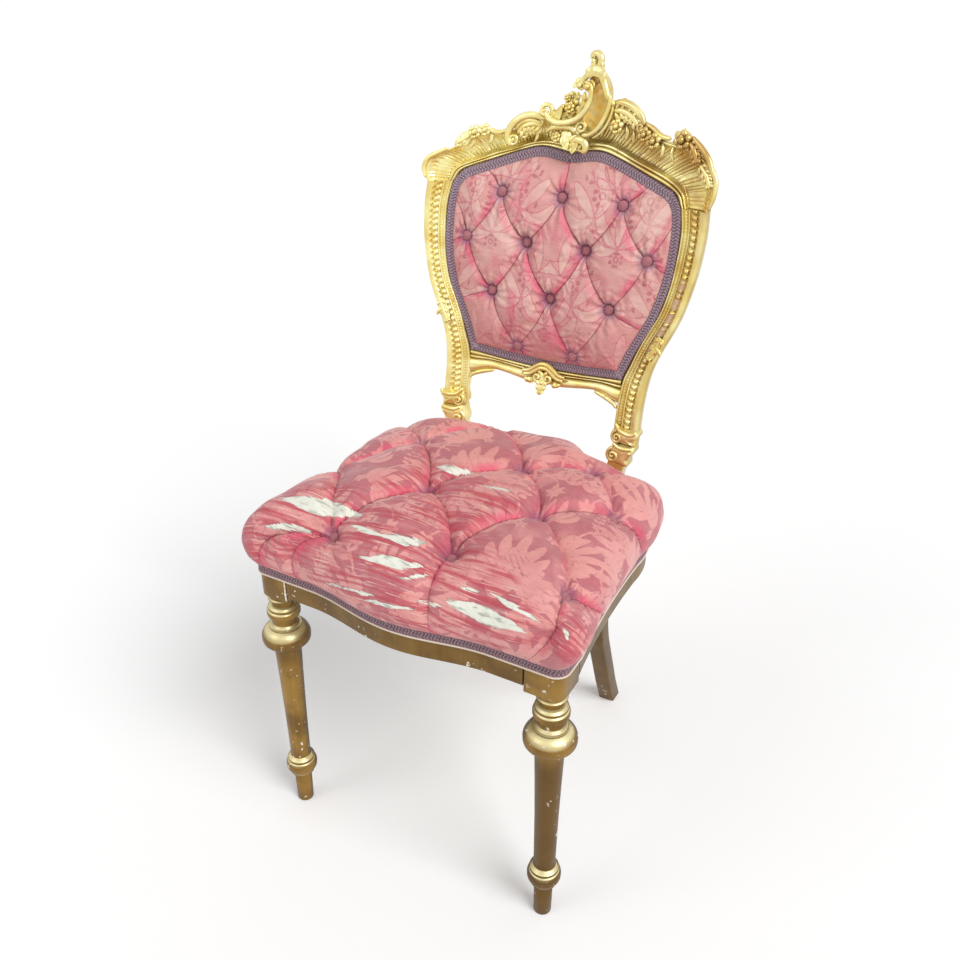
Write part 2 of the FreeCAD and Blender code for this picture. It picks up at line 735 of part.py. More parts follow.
def rail_drop():
    """Make the small carved drop under the middle of the lower rail."""
    high = lower_rail_edges(0)[0][1]
    curve = share_points(DROP_SHARES, float(dim.drop_width / 2), high, float(dim.drop_height))
    outline = elevation([curve + mirrored(curve)[1:], [mirrored(curve)[-1], curve[0]]])
    return outline.common(back_slab(dim.cresting_front, dim.cresting_front + dim.cresting_depth))


# Joinery
def dowel_places():
    """List each dowel as its joint's middle, direction and the pieces that it joins."""
    places = []
    rail_middle = dim.rail_thickness / 2 - dim.block_out
    for side_name, side in SIDES:
        leg, post = f"front_leg_{side_name}", f"back_post_{side_name}"
        side_piece = f"side_seat_rail_{side_name}"
        for step in (0, 1):
            level = float(dim.rail_base + dim.dowel_low + step * dim.dowel_pitch)
            shifted_level = level + float(dim.dowel_low)
            front_end = side * (leg_half_spacing - dim.block_in)
            side_middle = side * (seat_half - dim.rail_thickness / 2)
            places.append((Vector(front_end, rail_middle, level), Vector(1, 0, 0), (leg, "front_seat_rail")))
            places.append((Vector(side_middle, dim.block_in, level), Vector(0, 1, 0), (leg, side_piece)))
            rear_end = Vector(side * post_inner, dim.post_depth, shifted_level)
            places.append((rear_end, Vector(1, 0, 0), (post, "rear_seat_rail")))
            side_end = Vector(side * post_outer, seat_rear - dim.rail_thickness / 2, level)
            places.append((side_end, Vector(1, 0, 0), (post, side_piece)))
    return places


def back_dowel_places():
    """List the dowels of the back frame in the same way."""
    places = []
    for side_name, side in SIDES:
        post = f"back_post_{side_name}"
        top_share = sum(STILE_SHARES[-1][1:3]) / 2
        across = float(top_share * dim.panel_half_width)
        depth = back_y(across, stile_top) + dim.frame_thickness * BACK_DOWEL_DEPTH_SHARE
        places.append((Vector(side * across, depth, stile_top), Vector(0, 0, 1), (post, "crest_rail")))
        end = float(PANEL_BOTTOM_SHARES[-1][0] * dim.panel_half_width)
        level = float(panel_base - dim.lower_rail_height / 3)
        depth = back_y(end, level) + dim.lower_rail_thickness * BACK_DOWEL_DEPTH_SHARE
        places.append((Vector(side * end, depth, level), Vector(1, 0, 0), (post, "lower_back_rail")))
    return places


def dowel(place, direction, grow):
    """Make a dowel, or with grow the hole that it fits, centred on its joint."""
    half = float(dim.dowel_length / 2 + grow)
    return cylinder(place - direction * half, direction, dim.dowel_radius + grow, 2 * half)


def bored(shape, name, places):
    """Bore a piece for each dowel that enters it."""
    return shape.cut(dowel_holes(name, places))


def dowel_holes(name, places):
    """Make the holes of the dowels that enter a piece."""
    return [dowel(place, way, dim.fit_clearance) for place, way, pieces in places if name in pieces]


def front_brace(side, rail):
    """Make a corner block behind a front leg, scribed to the side rail."""
    inside = leg_half_spacing - dim.block_in
    back = dim.rail_thickness - dim.block_out
    far = dim.block_in + dim.brace_reach
    corners = [(inside - dim.brace_reach, back), (inside, back), (inside, dim.block_in),
               (seat_half - dim.rail_thickness, dim.block_in), (seat_half - dim.rail_thickness, far),
               (inside + dim.block_in / 2, far)]
    return corner_brace(side, corners, rail)


def rear_brace(side, rail):
    """Make a corner block before a back post, scribed to the side rail."""
    front = dim.post_depth - dim.rail_thickness / 2
    post_face = dim.post_depth - dim.post_thickness / 2
    near = front - dim.brace_reach
    corners = [(post_inner - dim.brace_reach, front), (post_inner, front), (post_inner, post_face),
               (post_outer + dim.brace_reach, post_face), (post_outer + dim.brace_reach, near),
               (post_outer, near)]
    return corner_brace(side, corners, rail)


def corner_brace(side, corners, rail):
    """Make a corner block from its plan and scribe it to the side rail."""
    base = float(dim.rail_base + dim.brace_drop)
    places = [Vector(side * across, depth, base) for across, depth in corners]
    block = Part.Face(Part.makePolygon(places + places[:1])).extrude(Vector(0, 0, float(dim.brace_height)))
    pieces = block.cut(rail).Solids
    return max(pieces, key=lambda piece: piece.distToShape(Part.Vertex(0, dim.cushion_middle, base))[0] * -1)


def screw(place, direction, grow):
    """Make a countersunk screw, or with grow the hole that it fills."""
    shank = cylinder(place, direction, dim.screw_radius + grow, dim.screw_length)
    head = Part.makeCone(float(dim.screw_head_radius + grow), float(dim.screw_radius + grow),
                         float(dim.screw_head_depth), place, direction)
    return shank.fuse(head)


def brace_screw_places(side):
    """List the screws of the two corner blocks on one side."""
    level = float(dim.rail_base + dim.brace_drop + dim.brace_height / 2)
    inside = leg_half_spacing - dim.block_in
    back = float(dim.rail_thickness - dim.block_out)
    front_start = float(back + dim.block_in / 2)
    front = Vector(side * (inside - dim.brace_reach * BRACE_SCREW_SHARE), front_start, level)
    post_face = float(dim.post_depth - dim.rail_thickness / 2)
    rear_across = side * (post_inner - dim.brace_reach * BRACE_SCREW_SHARE)
    rear = Vector(rear_across, post_face - dim.block_in / 2, level)
    return (front, Vector(0, -1, 0)), (rear, Vector(0, 1, 0))


# Seat plan, shared by the upholstery
def seat_wire(level, grow=0.0, scale=1.0):
    """Give the seat's closed plan at a level, moved outwards by grow and scaled about its middle."""
    grow, centre = float(grow), float(dim.cushion_middle)
    round_x = float(seat_half) + grow
    radius = max(float(dim.block_round) + grow, float(dim.block_round) / 2)
    front, bow = -float(dim.block_out) - grow, float(dim.front_bow)
    span, waist, depth = float(dim.bow_half_span), float(waist_half) + grow, float(dim.waist_depth)
    rear, corner = float(seat_rear) + grow, float(post_outer)
    slant = 1 - math.sqrt(0.5)

    def place(across, back):
        return Vector(across * scale, centre + (back - centre) * scale, float(level))

    def bulge(first, last, rise):
        chord_x, chord_y = last[0] - first[0], last[1] - first[1]
        length = math.hypot(chord_x, chord_y)
        return ((first[0] + last[0]) / 2 + rise * chord_y / length,
                (first[1] + last[1]) / 2 - rise * chord_x / length)

    curve = (span * span / 4 + bow * bow / 4) / bow
    dip = curve - math.sqrt(curve * curve - span * span / 16)
    half = [(0.0, front - bow), (span / 2, front - bow / 2), (span, front), (round_x - radius, front),
            (round_x, front + radius), (round_x, float(dim.block_in)), (waist, depth), (corner, rear)]
    middles = {
        0: (span / 4, front - bow + dip),
        1: (span * 3 / 4, front - dip),
        3: (round_x - radius * slant, front + radius * slant),
        5: bulge(half[5], half[6], -float(dim.waist_hollow)),
        6: bulge(half[6], half[7], float(dim.rear_round)),
    }
    edges = []
    for side in (1, -1):
        for index in range(len(half) - 1):
            first, last = half[index], half[index + 1]
            first_place, last_place = place(side * first[0], first[1]), place(side * last[0], last[1])
            if index in middles:
                middle = place(side * middles[index][0], middles[index][1])
                edges.append(Part.Arc(first_place, middle, last_place).toShape())
            else:
                edges.append(Part.makeLine(first_place, last_place))
    edges.append(Part.makeLine(place(corner, rear), place(-corner, rear)))
    return Part.Wire(Part.__sortEdges__(edges))


def seat_prism(level, height, grow=0.0):
    """Make the upright solid of the seat plan between two levels."""
    return Part.Face(seat_wire(level, grow)).extrude(Vector(0, 0, float(height)))


def post_notches(level, height, room):
    """Make the two blocks that keep a seat piece clear of the back posts."""
    wide = float(dim.ankle_offset + dim.ankle_low_width / 2 - post_inner + 2 * room)
    deep = float(dim.overrun)
    front = float(dim.post_depth - dim.post_thickness / 2 - room)
    starts = (float(post_inner - room), -float(post_inner - room) - wide)
    return [Part.makeBox(wide, deep, float(height), Vector(start, front, float(level))) for start in starts]


# Springs
def spring_radius(turn):
    """Give an hourglass spring's radius at a count of turns from its foot."""
    share = abs(2 * turn / SPRING_TURNS - 1)
    return float(dim.spring_waist_radius + (dim.spring_end_radius - dim.spring_waist_radius) * share ** 2)


def spring_point(turn, base, height):
    """Give a point of a spring's wire at a count of turns, about its own axis."""
    closed = SPRING_CLOSED_SHARE
    share = turn / SPRING_TURNS
    eased = share - closed * math.sin(2 * math.pi * share)
    eased += closed * math.sin(4 * math.pi * share) / (4 * math.pi)
    radius, angle = spring_radius(turn), 2 * math.pi * turn
    return Vector(radius * math.cos(angle), radius * math.sin(angle), base + height * eased)


def tangent_arc(start, heading, end):
    """Give the arc that leaves start along heading and reaches end."""
    chord = end - start
    along = chord * (1 / chord.Length)
    aside = heading - along * heading.dot(along)
    angle = math.acos(max(-1.0, min(1.0, heading.dot(along))))
    middle = (start + end) * 0.5 + aside.normalize() * (chord.Length / 2 * math.tan(angle / 2))
    return Part.Arc(start, middle, end).toShape()


def biarc(start, start_heading, end, end_heading):
    """Join two points and headings with two arcs that meet smoothly."""
    span = end - start
    both = start_heading + end_heading
    turn = 2 * (1 - start_heading.dot(end_heading))
    reach = (-span.dot(both) + math.sqrt(span.dot(both) ** 2 + turn * span.dot(span))) / turn
    middle = (start + end + (start_heading - end_heading) * reach) * 0.5
    second = tangent_arc(end, end_heading * -1, middle)
    return [tangent_arc(start, start_heading, middle), second]


def coil_spring(base, height):
    """Make one hourglass coil spring as an unbroken wire, and give the least gap between its turns."""
    step = 0.5
    nudge = 0.001
    counts = [index * step for index in range(int(SPRING_TURNS / step) + 1)]

    def heading(turn):
        return (spring_point(turn + nudge, base, height) - spring_point(turn - nudge, base, height)).normalize()

    edges = []
    for turn in counts[:-1]:
        edges += biarc(spring_point(turn, base, height), heading(turn),
                       spring_point(turn + step, base, height), heading(turn + step))
    path = Part.Wire(Part.__sortEdges__(edges))
    section = Part.Circle(spring_point(0, base, height), heading(0), float(dim.spring_wire_radius))
    ring = Part.Wire(section.toShape())
    per_turn = 50
    fine = [spring_point(index / per_turn, base, height) for index in range(SPRING_TURNS * per_turn + 1)]
    apart = per_turn * 3 // 5
    gap = min((fine[i] - fine[j]).Length for i in range(len(fine)) for j in range(i + apart, len(fine)))
    return path.makePipeShell([ring], True, False), gap - 2 * float(dim.spring_wire_radius)


# Tufting
def button(place, normal):
    """Make a covered button: a low dome on a short drum."""
    radius, depth = float(dim.button_radius), float(dim.button_depth)
    rise = depth / 2
    dome = (radius * radius + rise * rise) / (2 * rise)
    ball = Part.makeSphere(dome, Vector(0, 0, depth - dome))
    made = ball.common(cylinder(Vector(0, 0, 0), Vector(0, 0, 1), radius, depth)).Solids[0]
    made.Placement = Placement(place, Rotation(Vector(0, 0, 1), normal))
    return made


def dimple(place, normal, reach):
    """Make the cone that a button draws into the stuffing, as high as reach above the button's seat."""
    small = float(dim.button_radius + 4 * dim.soft_clearance)
    return Part.makeCone(small, small + TUFT_SLOPE_SHARE * float(reach), float(reach), place, normal)


def pleat(first, last, normal, reach, lift):
    """Make the wedge of the fold between two neighbouring buttons."""
    run = last - first
    across = run.cross(normal).normalize() * (PLEAT_SLOPE_SHARE * float(reach))
    up = normal * float(reach)
    foot = first + normal * float(lift)
    corners = [foot, foot + up + across, foot + up - across, foot]
    return Part.Face(Part.makePolygon(corners)).extrude(run)


def neighbours(rows):
    """List the pairs of buttons in touching rows that a fold joins."""
    pairs = []
    for row, following in zip(rows, rows[1:]):
        for first in row:
            for last in following:
                if abs(first[1] - last[1]) < NEIGHBOUR_SHARE:
                    pairs.append((first[0], last[0]))
    return pairs


def seat_tufts():
    """Give the seat's buttons as rows of (place, column share)."""
    skirt = dim.rail_base + dim.gimp_rise + dim.gimp_height
    rows = []
    for row, columns in enumerate(SEAT_TUFT_COLUMN_SHARES):
        depth = float(dim.seat_tuft_first_row + row * dim.seat_tuft_row_pitch)
        places = []
        for column, share in zip(columns, SEAT_TUFT_HEIGHT_SHARES[row]):
            across = dim.seat_tuft_offset + column * dim.seat_tuft_pitch
            level = skirt + share * (cushion_crown - skirt)
            places.append((Vector(across, depth, level), column))
        rows.append(places)
    return rows


def back_tufts():
    """Give the back's buttons as rows of (place, column share)."""
    rows = []
    for row, columns in zip(BACK_TUFT_ROW_SHARES, BACK_TUFT_COLUMN_SHARES):
        up = float(panel_base + row * dim.panel_height)
        rows.append([(Vector(column * dim.back_tuft_pitch, back_y(column * dim.back_tuft_pitch, up)
                             - dim.back_tuft_sink, up), column) for column in columns])
    return rows


def seat_cushion():
    """Make the tufted seat top: crowned, drawn in to the rails, with dimples and folds."""
    low = dim.rail_base + dim.gimp_rise + dim.gimp_height + dim.soft_clearance
    tall = cushion_crown - low
    shell = Part.makeLoft([seat_wire(low + share * tall, dim.skirt_thickness, scale)
                           for share, scale in CUSHION_SECTION_SHARES], True, False)
    under = low - dim.overrun
    over_rails = seat_prism(under, rail_top + dim.soft_clearance - under, dim.soft_clearance)
    canvas_room = dim.canvas_thickness + dim.soft_clearance
    over_canvas = seat_prism(rail_top, canvas_room, dim.soft_clearance - dim.canvas_inset)
    hollow = stuffing_loft(dim.soft_clearance)
    up = Vector(0, 0, 1)
    rows = seat_tufts()
    tools = [over_rails, over_canvas, hollow]
    tools += post_notches(under, tall + 2 * dim.overrun, 4 * dim.soft_clearance)
    reach = tall * TUFT_REACH_SHARE
    tools += [dimple(place, up, reach) for row in rows for place, _ in row]
    tools += [pleat(first, last, up, reach, dim.pleat_lift) for first, last in neighbours(rows)]
    return shell.cut(tools)


def stuffing_loft(grow):
    """Make the stitched pad of first stuffing, or with grow the hollow that holds it."""
    base = rail_top + dim.canvas_thickness
    return Part.makeLoft([
        seat_wire(base - grow, grow - dim.stuffing_inset),
        seat_wire(base + dim.stuffing_height + grow, grow - 2 * dim.stuffing_inset, STUFFING_TOP_SHARE),
    ], True, True)


def seat_gimp():
    """Make the braid round the front and sides of the seat, and between the back posts."""
    base = dim.rail_base + dim.gimp_rise
    ring = seat_prism(base, dim.gimp_height, dim.gimp_thickness).cut(seat_prism(base, dim.gimp_height))
    return ring.cut(post_notches(base - dim.overrun, dim.gimp_height + 2 * dim.overrun, dim.soft_clearance))


def back_panel(grow, front, rear):
    """Make a layer of the back's panel between two depths."""
    return panel_solid(grow).common(back_slab(front, rear))


def back_pad():
    """Make the tufted back pad, swelling from its border, with dimples and folds."""
    canvas_front = dim.rebate_depth - 2 * dim.webbing_thickness - dim.canvas_thickness
    rear = canvas_front - dim.soft_clearance
    border = rear - dim.gimp_thickness / 2
    inset = -dim.gimp_height - dim.soft_clearance
    rim = back_panel(-2 * dim.soft_clearance, border, rear)
    swell_front = Vector(0, back_y(0, panel_middle) - dim.pad_crown, panel_middle)
    half = float(dim.panel_half_width + dim.overrun)
    centre = swell_front - back_normal * float(dim.pad_swell_radius)
    swell = cylinder(centre - Vector(half, 0, 0), Vector(1, 0, 0), dim.pad_swell_radius, 2 * half)
    crown = back_panel(inset, -2 * dim.pad_crown, border).common(swell)
    rows = back_tufts()
    reach = 2 * dim.pad_crown
    tools = [dimple(place, back_normal, reach) for row in rows for place, _ in row]
    tools += [pleat(first, last, back_normal, reach, dim.back_pleat_lift) for first, last in neighbours(rows)]
    return rim.fuse(crown).cut(tools)


def back_gimp():
    """Make the braid round the back's panel."""
    rear = dim.rebate_depth - 2 * dim.webbing_thickness - dim.canvas_thickness
    rear = rear - dim.soft_clearance - dim.gimp_thickness / 2
    outer = back_panel(-2 * dim.soft_clearance, rear - dim.gimp_thickness, rear)
    return outer.cut(panel_solid(-dim.gimp_height))


def seat_webbing():
    """Make the seat's crosswise and lengthwise webbing, tacked under the rails in two layers."""
    thick, wide = float(dim.webbing_thickness), float(dim.webbing_width)
    plan = seat_prism(dim.rail_base - 2 * thick, 2 * thick, -dim.canvas_inset)
    level = float(dim.rail_base - dim.webbing_thickness)
    reach = float(seat_half)
    cross, long = [], []
    for step in (-1, 0, 1):
        across = float(step * dim.webbing_pitch)
        depth = float(dim.webbing_first_row + (step + 1) * dim.webbing_pitch)
        cross.append(Part.makeBox(2 * reach, wide, thick, Vector(-reach, depth - wide / 2, level)).common(plan))
        start = Vector(across - wide / 2, -reach, level - thick)
        long.append(Part.makeBox(wide, 3 * reach, thick, start).common(plan))
    return Part.makeCompound(cross), Part.makeCompound(long)


def back_webbing():
    """Make the back's upright and level webbing, tacked to the rebate in two layers."""
    thick, wide = dim.webbing_thickness, float(dim.webbing_width)
    panel = panel_solid(-2 * dim.soft_clearance)
    uprights, levels = [], []
    inner, outer = back_slab(dim.rebate_depth - thick, dim.rebate_depth), back_slab(
        dim.rebate_depth - 2 * thick, dim.rebate_depth - thick)
    for step in (-1, 1):
        across = float(step * dim.back_webbing_spread)
        up = float(panel_middle + step * dim.back_webbing_spread)
        tall = float(dim.panel_height + 2 * dim.overrun)
        broad = float(2 * dim.panel_half_width + 2 * dim.overrun)
        deep = float(dim.post_depth + dim.sabre_sweep + dim.leg_setback)
        strip = Part.makeBox(wide, deep, tall, Vector(across - wide / 2, 0, panel_base - dim.overrun))
        uprights.append(strip.common(panel).common(inner))
        strip = Part.makeBox(broad, deep, wide, Vector(-broad / 2, 0, up - wide / 2))
        levels.append(strip.common(panel).common(outer))
    return Part.makeCompound(uprights), Part.makeCompound(levels)


def seat_springs():
    """Make five coil springs on the crossings of the webbing, and print their least gap."""
    wire = float(dim.spring_wire_radius)
    base = float(dim.rail_base) + wire
    coil, gap = coil_spring(base, float(dim.rail_height) - 2 * wire)
    print(f"least gap between a spring's turns: {gap:.2f} mm")
    pitch, first = float(dim.webbing_pitch), float(dim.webbing_first_row)
    spots = [(-pitch, first), (pitch, first), (0, first + pitch), (-pitch, first + 2 * pitch),
             (pitch, first + 2 * pitch)]
    return Part.makeCompound([coil.translated(Vector(across, depth, 0)) for across, depth in spots])


def build_frame():
    """Make the wooden frame with its dowels, corner blocks, screws and carved ornaments."""
    places = dowel_places()
    back_places = back_dowel_places()
    bodies = {"front_seat_rail": front_rail(), "rear_seat_rail": rear_rail()}
    for side_name, side in SIDES:
        bodies[f"front_leg_{side_name}"] = front_leg(side_name, side)
        bodies[f"side_seat_rail_{side_name}"] = side_rail(side_name, side)
    doc.recompute()
    shift = Vector(0, -dim.leg_setback, 0)
    for name, body in bodies.items():
        holes = dowel_holes(name, places)
        if name.startswith("front_seat"):
            for _, side in SIDES:
                (start, direction), _ = brace_screw_places(side)
                holes.append(screw(start, direction, dim.fit_clearance))
        if name.startswith("rear_seat"):
            for _, side in SIDES:
                _, (start, direction) = brace_screw_places(side)
                holes.append(screw(start, direction, dim.fit_clearance))
        tool = doc.addObject("Part::Feature", f"{name}_holes")
        tool.Shape = Part.makeCompound(holes)
        tool.Placement = Placement(shift, Rotation())
        drilled = doc.addObject("Part::Cut", f"{name}_drilled")
        drilled.Base = body
        drilled.Tool = tool
        keep(name, drilled)
    doc.recompute()
    posts = [back_post(side) for _, side in SIDES]
    for (side_name, _), post in zip(SIDES, posts):
        name = f"back_post_{side_name}"
        keep_shape(name, bored(post, name, places + back_places))
    keep_shape("crest_rail", bored(crest_rail(), "crest_rail", back_places))
    lower_rail = lower_back_rail().cut(posts)
    keep_shape("lower_back_rail", bored(lower_rail, "lower_back_rail", back_places))
    keep_shape("crest_cartouche", cresting(CARTOUCHE_SHARES))
    keep_shape("crest_leaf_right", cresting(RIGHT_LEAF_SHARES))
    keep_shape("crest_leaf_left", cresting(LEFT_LEAF_SHARES))
    keep_shape("lower_rail_drop", rail_drop().cut(lower_rail))
    for name, joints in (("rail_dowels", places), ("back_frame_dowels", back_places)):
        keep_shape(name, Part.makeCompound([dowel(place, way, 0.0) for place, way, _ in joints]))
    screws = []
    for side_name, side in SIDES:
        rail = bodies[f"side_seat_rail_{side_name}"].Shape.translated(Vector(0, dim.leg_setback, 0))
        spots = brace_screw_places(side)
        braces = (("front", front_brace(side, rail)), ("rear", rear_brace(side, rail)))
        for (where, brace), (start, direction) in zip(braces, spots):
            drilled = brace.cut(screw(start, direction, dim.fit_clearance))
            keep_shape(f"corner_block_{where}_{side_name}", drilled)
            screws.append(screw(start, direction, 0.0))
    keep_shape("corner_block_screws", Part.makeCompound(screws))


def build_upholstery():
    """Make the webbing, springs, stuffing, covers, buttons and braid."""
    crosswise, lengthwise = seat_webbing()
    keep_shape("seat_webbing_crosswise", crosswise)
    keep_shape("seat_webbing_lengthwise", lengthwise)
    keep_shape("seat_springs", seat_springs())
    notches = post_notches(rail_top, dim.canvas_thickness, dim.soft_clearance)
    keep_shape("spring_canvas", seat_prism(rail_top, dim.canvas_thickness, -dim.canvas_inset).cut(notches))
    notches = post_notches(rail_top, dim.overrun, dim.canvas_inset)
    keep_shape("seat_first_stuffing", stuffing_loft(0.0).cut(notches))
    keep_shape("seat_cushion", seat_cushion())
    up = Vector(0, 0, 1)
    buttons = [button(place, up) for row in seat_tufts() for place, _ in row]
    keep_shape("seat_buttons", Part.makeCompound(buttons))
    keep_shape("seat_gimp", seat_gimp())
    uprights, levels = back_webbing()
    keep_shape("back_webbing_upright", uprights)
    keep_shape("back_webbing_level", levels)
    canvas_rear = dim.rebate_depth - 2 * dim.webbing_thickness
    canvas_front = canvas_rear - dim.canvas_thickness
    keep_shape("back_canvas", back_panel(-2 * dim.soft_clearance, canvas_front, canvas_rear))
    keep_shape("back_pad", back_pad())
    buttons = [button(place, back_normal) for row in back_tufts() for place, _ in row]
    keep_shape("back_buttons", Part.makeCompound(buttons))
    keep_shape("back_gimp", back_gimp())
    rear = dim.frame_thickness
    cover = back_panel(-dim.rebate_width / 2, rear, rear + dim.outside_cover_thickness)
    keep_shape("outside_back_cover", cover)


def write_parts():
    """Check every object and write each piece to its own file."""
    doc.recompute()
    failed = [item.Name for item in doc.Objects if "Invalid" in item.State or "Error" in item.State]
    failed += [name for name, made in nodes.items() if made.Shape.isNull() or not made.Shape.isValid()]
    if failed:
        raise RuntimeError("these did not build: " + ", ".join(failed))
    os.makedirs("parts", exist_ok=True)
    for name, made in nodes.items():
        made.Shape.exportStep(f"parts/{name}.step")


build_frame()
build_upholstery()
write_parts()
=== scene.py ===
import logging
import math
from dataclasses import dataclass
from enum import Enum

import bpy
import numpy as np
from mathutils import Matrix, Vector


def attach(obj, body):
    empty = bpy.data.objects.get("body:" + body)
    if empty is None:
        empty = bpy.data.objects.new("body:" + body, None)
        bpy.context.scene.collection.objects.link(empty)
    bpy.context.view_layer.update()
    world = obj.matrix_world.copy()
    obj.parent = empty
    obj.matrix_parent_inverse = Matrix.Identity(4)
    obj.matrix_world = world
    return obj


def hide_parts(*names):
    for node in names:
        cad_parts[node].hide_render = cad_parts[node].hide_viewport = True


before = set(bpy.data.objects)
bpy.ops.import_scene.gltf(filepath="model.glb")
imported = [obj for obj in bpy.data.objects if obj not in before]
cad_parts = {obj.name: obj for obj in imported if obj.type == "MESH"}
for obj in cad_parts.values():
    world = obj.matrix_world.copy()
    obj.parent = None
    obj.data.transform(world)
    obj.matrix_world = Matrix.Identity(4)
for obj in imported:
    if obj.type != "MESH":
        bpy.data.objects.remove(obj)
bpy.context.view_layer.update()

# A gilt parlor side chair in worn salmon damask. Metres, +Z up, the front of the chair faces -Y.
LOG = logging.getLogger("parlor_chair")
ROOT = "root"
WELD = 1e-5
MM = 0.001
Array = np.ndarray
Piece = bpy.types.Object
Material = bpy.types.Material
Socket = bpy.types.NodeSocket
Colour = tuple[float, float, float, float]


class Slot(Enum):
    """The record's material slots."""

    GILT = "gilt_leaf"
    BRONZE = "bronze_paint"
    BEECH = "bare_beech"
    STEEL = "black_steel"
    JUTE = "jute"
    DAMASK = "damask"
    BRAID = "gimp_braid"


class Side(Enum):
    """Left is -X, as seen from in front of the chair."""

    LEFT = -1
    RIGHT = 1

    @property
    def word(self) -> str:
        """Give the side's name as pieces use it."""
        return self.name.lower()


def hue(code: str) -> Colour:
    """Turn a six-letter screen colour into a shader colour."""
    channels = [int(code[i:i + 2], 16) / 255 for i in (0, 2, 4)]
    linear = [c / 12.92 if c <= 0.04045 else ((c + 0.055) / 1.055) ** 2.4 for c in channels]
    return (*linear, 1.0)


def ease(low: float, high: float, value: Array) -> Array:
    """Give a smooth step from 0 at low to 1 at high."""
    share = np.clip((value - low) / (high - low), 0.0, 1.0)
    return share * share * (3 - 2 * share)


def band(value: Array, low: float, full: float, past: float, gone: float) -> Array:
    """Give a smooth rise from 0 at low to 1 at full, and a fall from past to gone."""
    return ease(low, full, value) * (1 - ease(past, gone, value))


def drawn_in(loop: Array, middle: tuple[float, float], shares: Array) -> Array:
    """Give copies of a loop, each drawn in to its middle by a share."""
    return np.array(middle) + (loop - middle) * np.asarray(shares)[:, None, None]


def travelled(path: Array) -> Array:
    """Give how far along a polyline each of its points lies."""
    return np.concatenate([[0.0], np.cumsum(np.linalg.norm(np.diff(path, axis=0), axis=1))])


def raised(plan: Array, level: Array | float) -> Array:
    """Give flat points a third coordinate, one for all or one for each."""
    return np.concatenate([plan, np.broadcast_to(level, plan.shape[:-1])[..., None]], axis=-1)


def whole(half: Array) -> Array:
    """Add its mirror image to a half outline that ends on the middle line."""
    return np.vstack([half, (half * (-1, 1))[::-1][1:]])


def longer(values: Array, more: int) -> Array:
    """Repeat a table's last row."""
    return np.concatenate([values, np.repeat(values[-1:], more, axis=0)])


def even_path(fine: Array, count: int) -> Array:
    """Space points evenly along a polyline.

    Args:
        fine: the polyline's points.
        count: how many points to give back.

    Returns:
        The evenly spaced points, with both ends kept.
    """
    run = travelled(fine)
    wanted = np.linspace(0.0, run[-1], count)
    return np.stack([np.interp(wanted, run, fine[:, axis]) for axis in range(fine.shape[1])], axis=1)


def smooth_path(points: object, count: int) -> Array:
    """Draw a smooth curve through given points.

    Args:
        points: the points, of two or more coordinates each.
        count: how many evenly spaced points to give back.

    Returns:
        The points of the curve.
    """
    knots = np.asarray(points, float)
    knots = np.vstack([2 * knots[0] - knots[1], knots, 2 * knots[-1] - knots[-2]])
    share = np.linspace(0, 1, 24, endpoint=False)[:, None]
    spans = []
    for a, b, c, d in zip(knots, knots[1:], knots[2:], knots[3:]):
        spans.append(0.5 * (2 * b + (c - a) * share + (2 * a - 5 * b + 4 * c - d) * share ** 2
                            + (3 * b - a - 3 * c + d) * share ** 3))
    return even_path(np.vstack([*spans, knots[-2:-1]]), count)


def outward(loop: Array) -> Array:
    """Give the outward directions of a closed counter-clockwise loop whose ends meet."""
    ring = loop[:-1]
    along = np.roll(ring, -1, axis=0) - np.roll(ring, 1, axis=0)
    along /= np.linalg.norm(along, axis=1)[:, None]
    sideways = np.stack([along[:, 1], -along[:, 0]], axis=1)
    return np.vstack([sideways, sideways[:1]])


def closed(half: Array, count: int, grow: float) -> Array:
    """Make a right half into a closed, evenly spaced outline, moved outwards by grow."""
    loop = even_path(whole(half), count + 1)
    return loop + grow * outward(loop)


def rounded(wide: Array, tall: float, soft: float) -> tuple[Array, Array]:
    """Give closed rectangles with rounded corners, of several widths, as offsets both ways."""
    turn = np.linspace(0, math.pi / 2, 5)
    signs = ((1, 1, 0.0), (-1, 1, 0.5), (-1, -1, 1.0), (1, -1, 1.5), (1, 1, 0.0))
    across = np.concatenate([sx * (wide[:, None] / 2 - soft) + soft * np.cos(begin * math.pi + turn)
                             for sx, _, begin in signs], axis=1)
    up = np.concatenate([sy * (tall / 2 - soft) + soft * np.sin(begin * math.pi + turn)
                         for _, sy, begin in signs])
    closing = 4 * len(turn) + 1
    return across[:, :closing], up[:closing]


def nearest(spot: Array, layout: Array) -> tuple[int, int]:
    """Give the row and column of the place in a layout that is nearest to a spot."""
    return np.unravel_index(np.argmin(np.linalg.norm(layout - spot, axis=2)), layout.shape[:2])


# Mesh tools
def deselect() -> None:
    """Leave edit mode and select nothing."""
    if bpy.context.object and bpy.context.object.mode != "OBJECT":
        bpy.ops.object.mode_set(mode="OBJECT")
    bpy.ops.object.select_all(action="DESELECT")


def take(piece: Piece) -> None:
    """Make one object the only selected and active one."""
    deselect()
    piece.select_set(True)
    bpy.context.view_layer.objects.active = piece


def tidy(piece: Piece, close: bool = True, weld: float = WELD) -> None:
    """Merge doubled corners, close open ends and point the faces outwards."""
    take(piece)
    bpy.ops.object.mode_set(mode="EDIT")
    bpy.ops.mesh.select_all(action="SELECT")
    bpy.ops.mesh.remove_doubles(threshold=weld)
    if close:
        bpy.ops.mesh.select_all(action="SELECT")
        bpy.ops.mesh.fill_holes(sides=0)
    bpy.ops.mesh.select_all(action="SELECT")
    bpy.ops.mesh.normals_make_consistent(inside=False)
    bpy.ops.object.mode_set(mode="OBJECT")


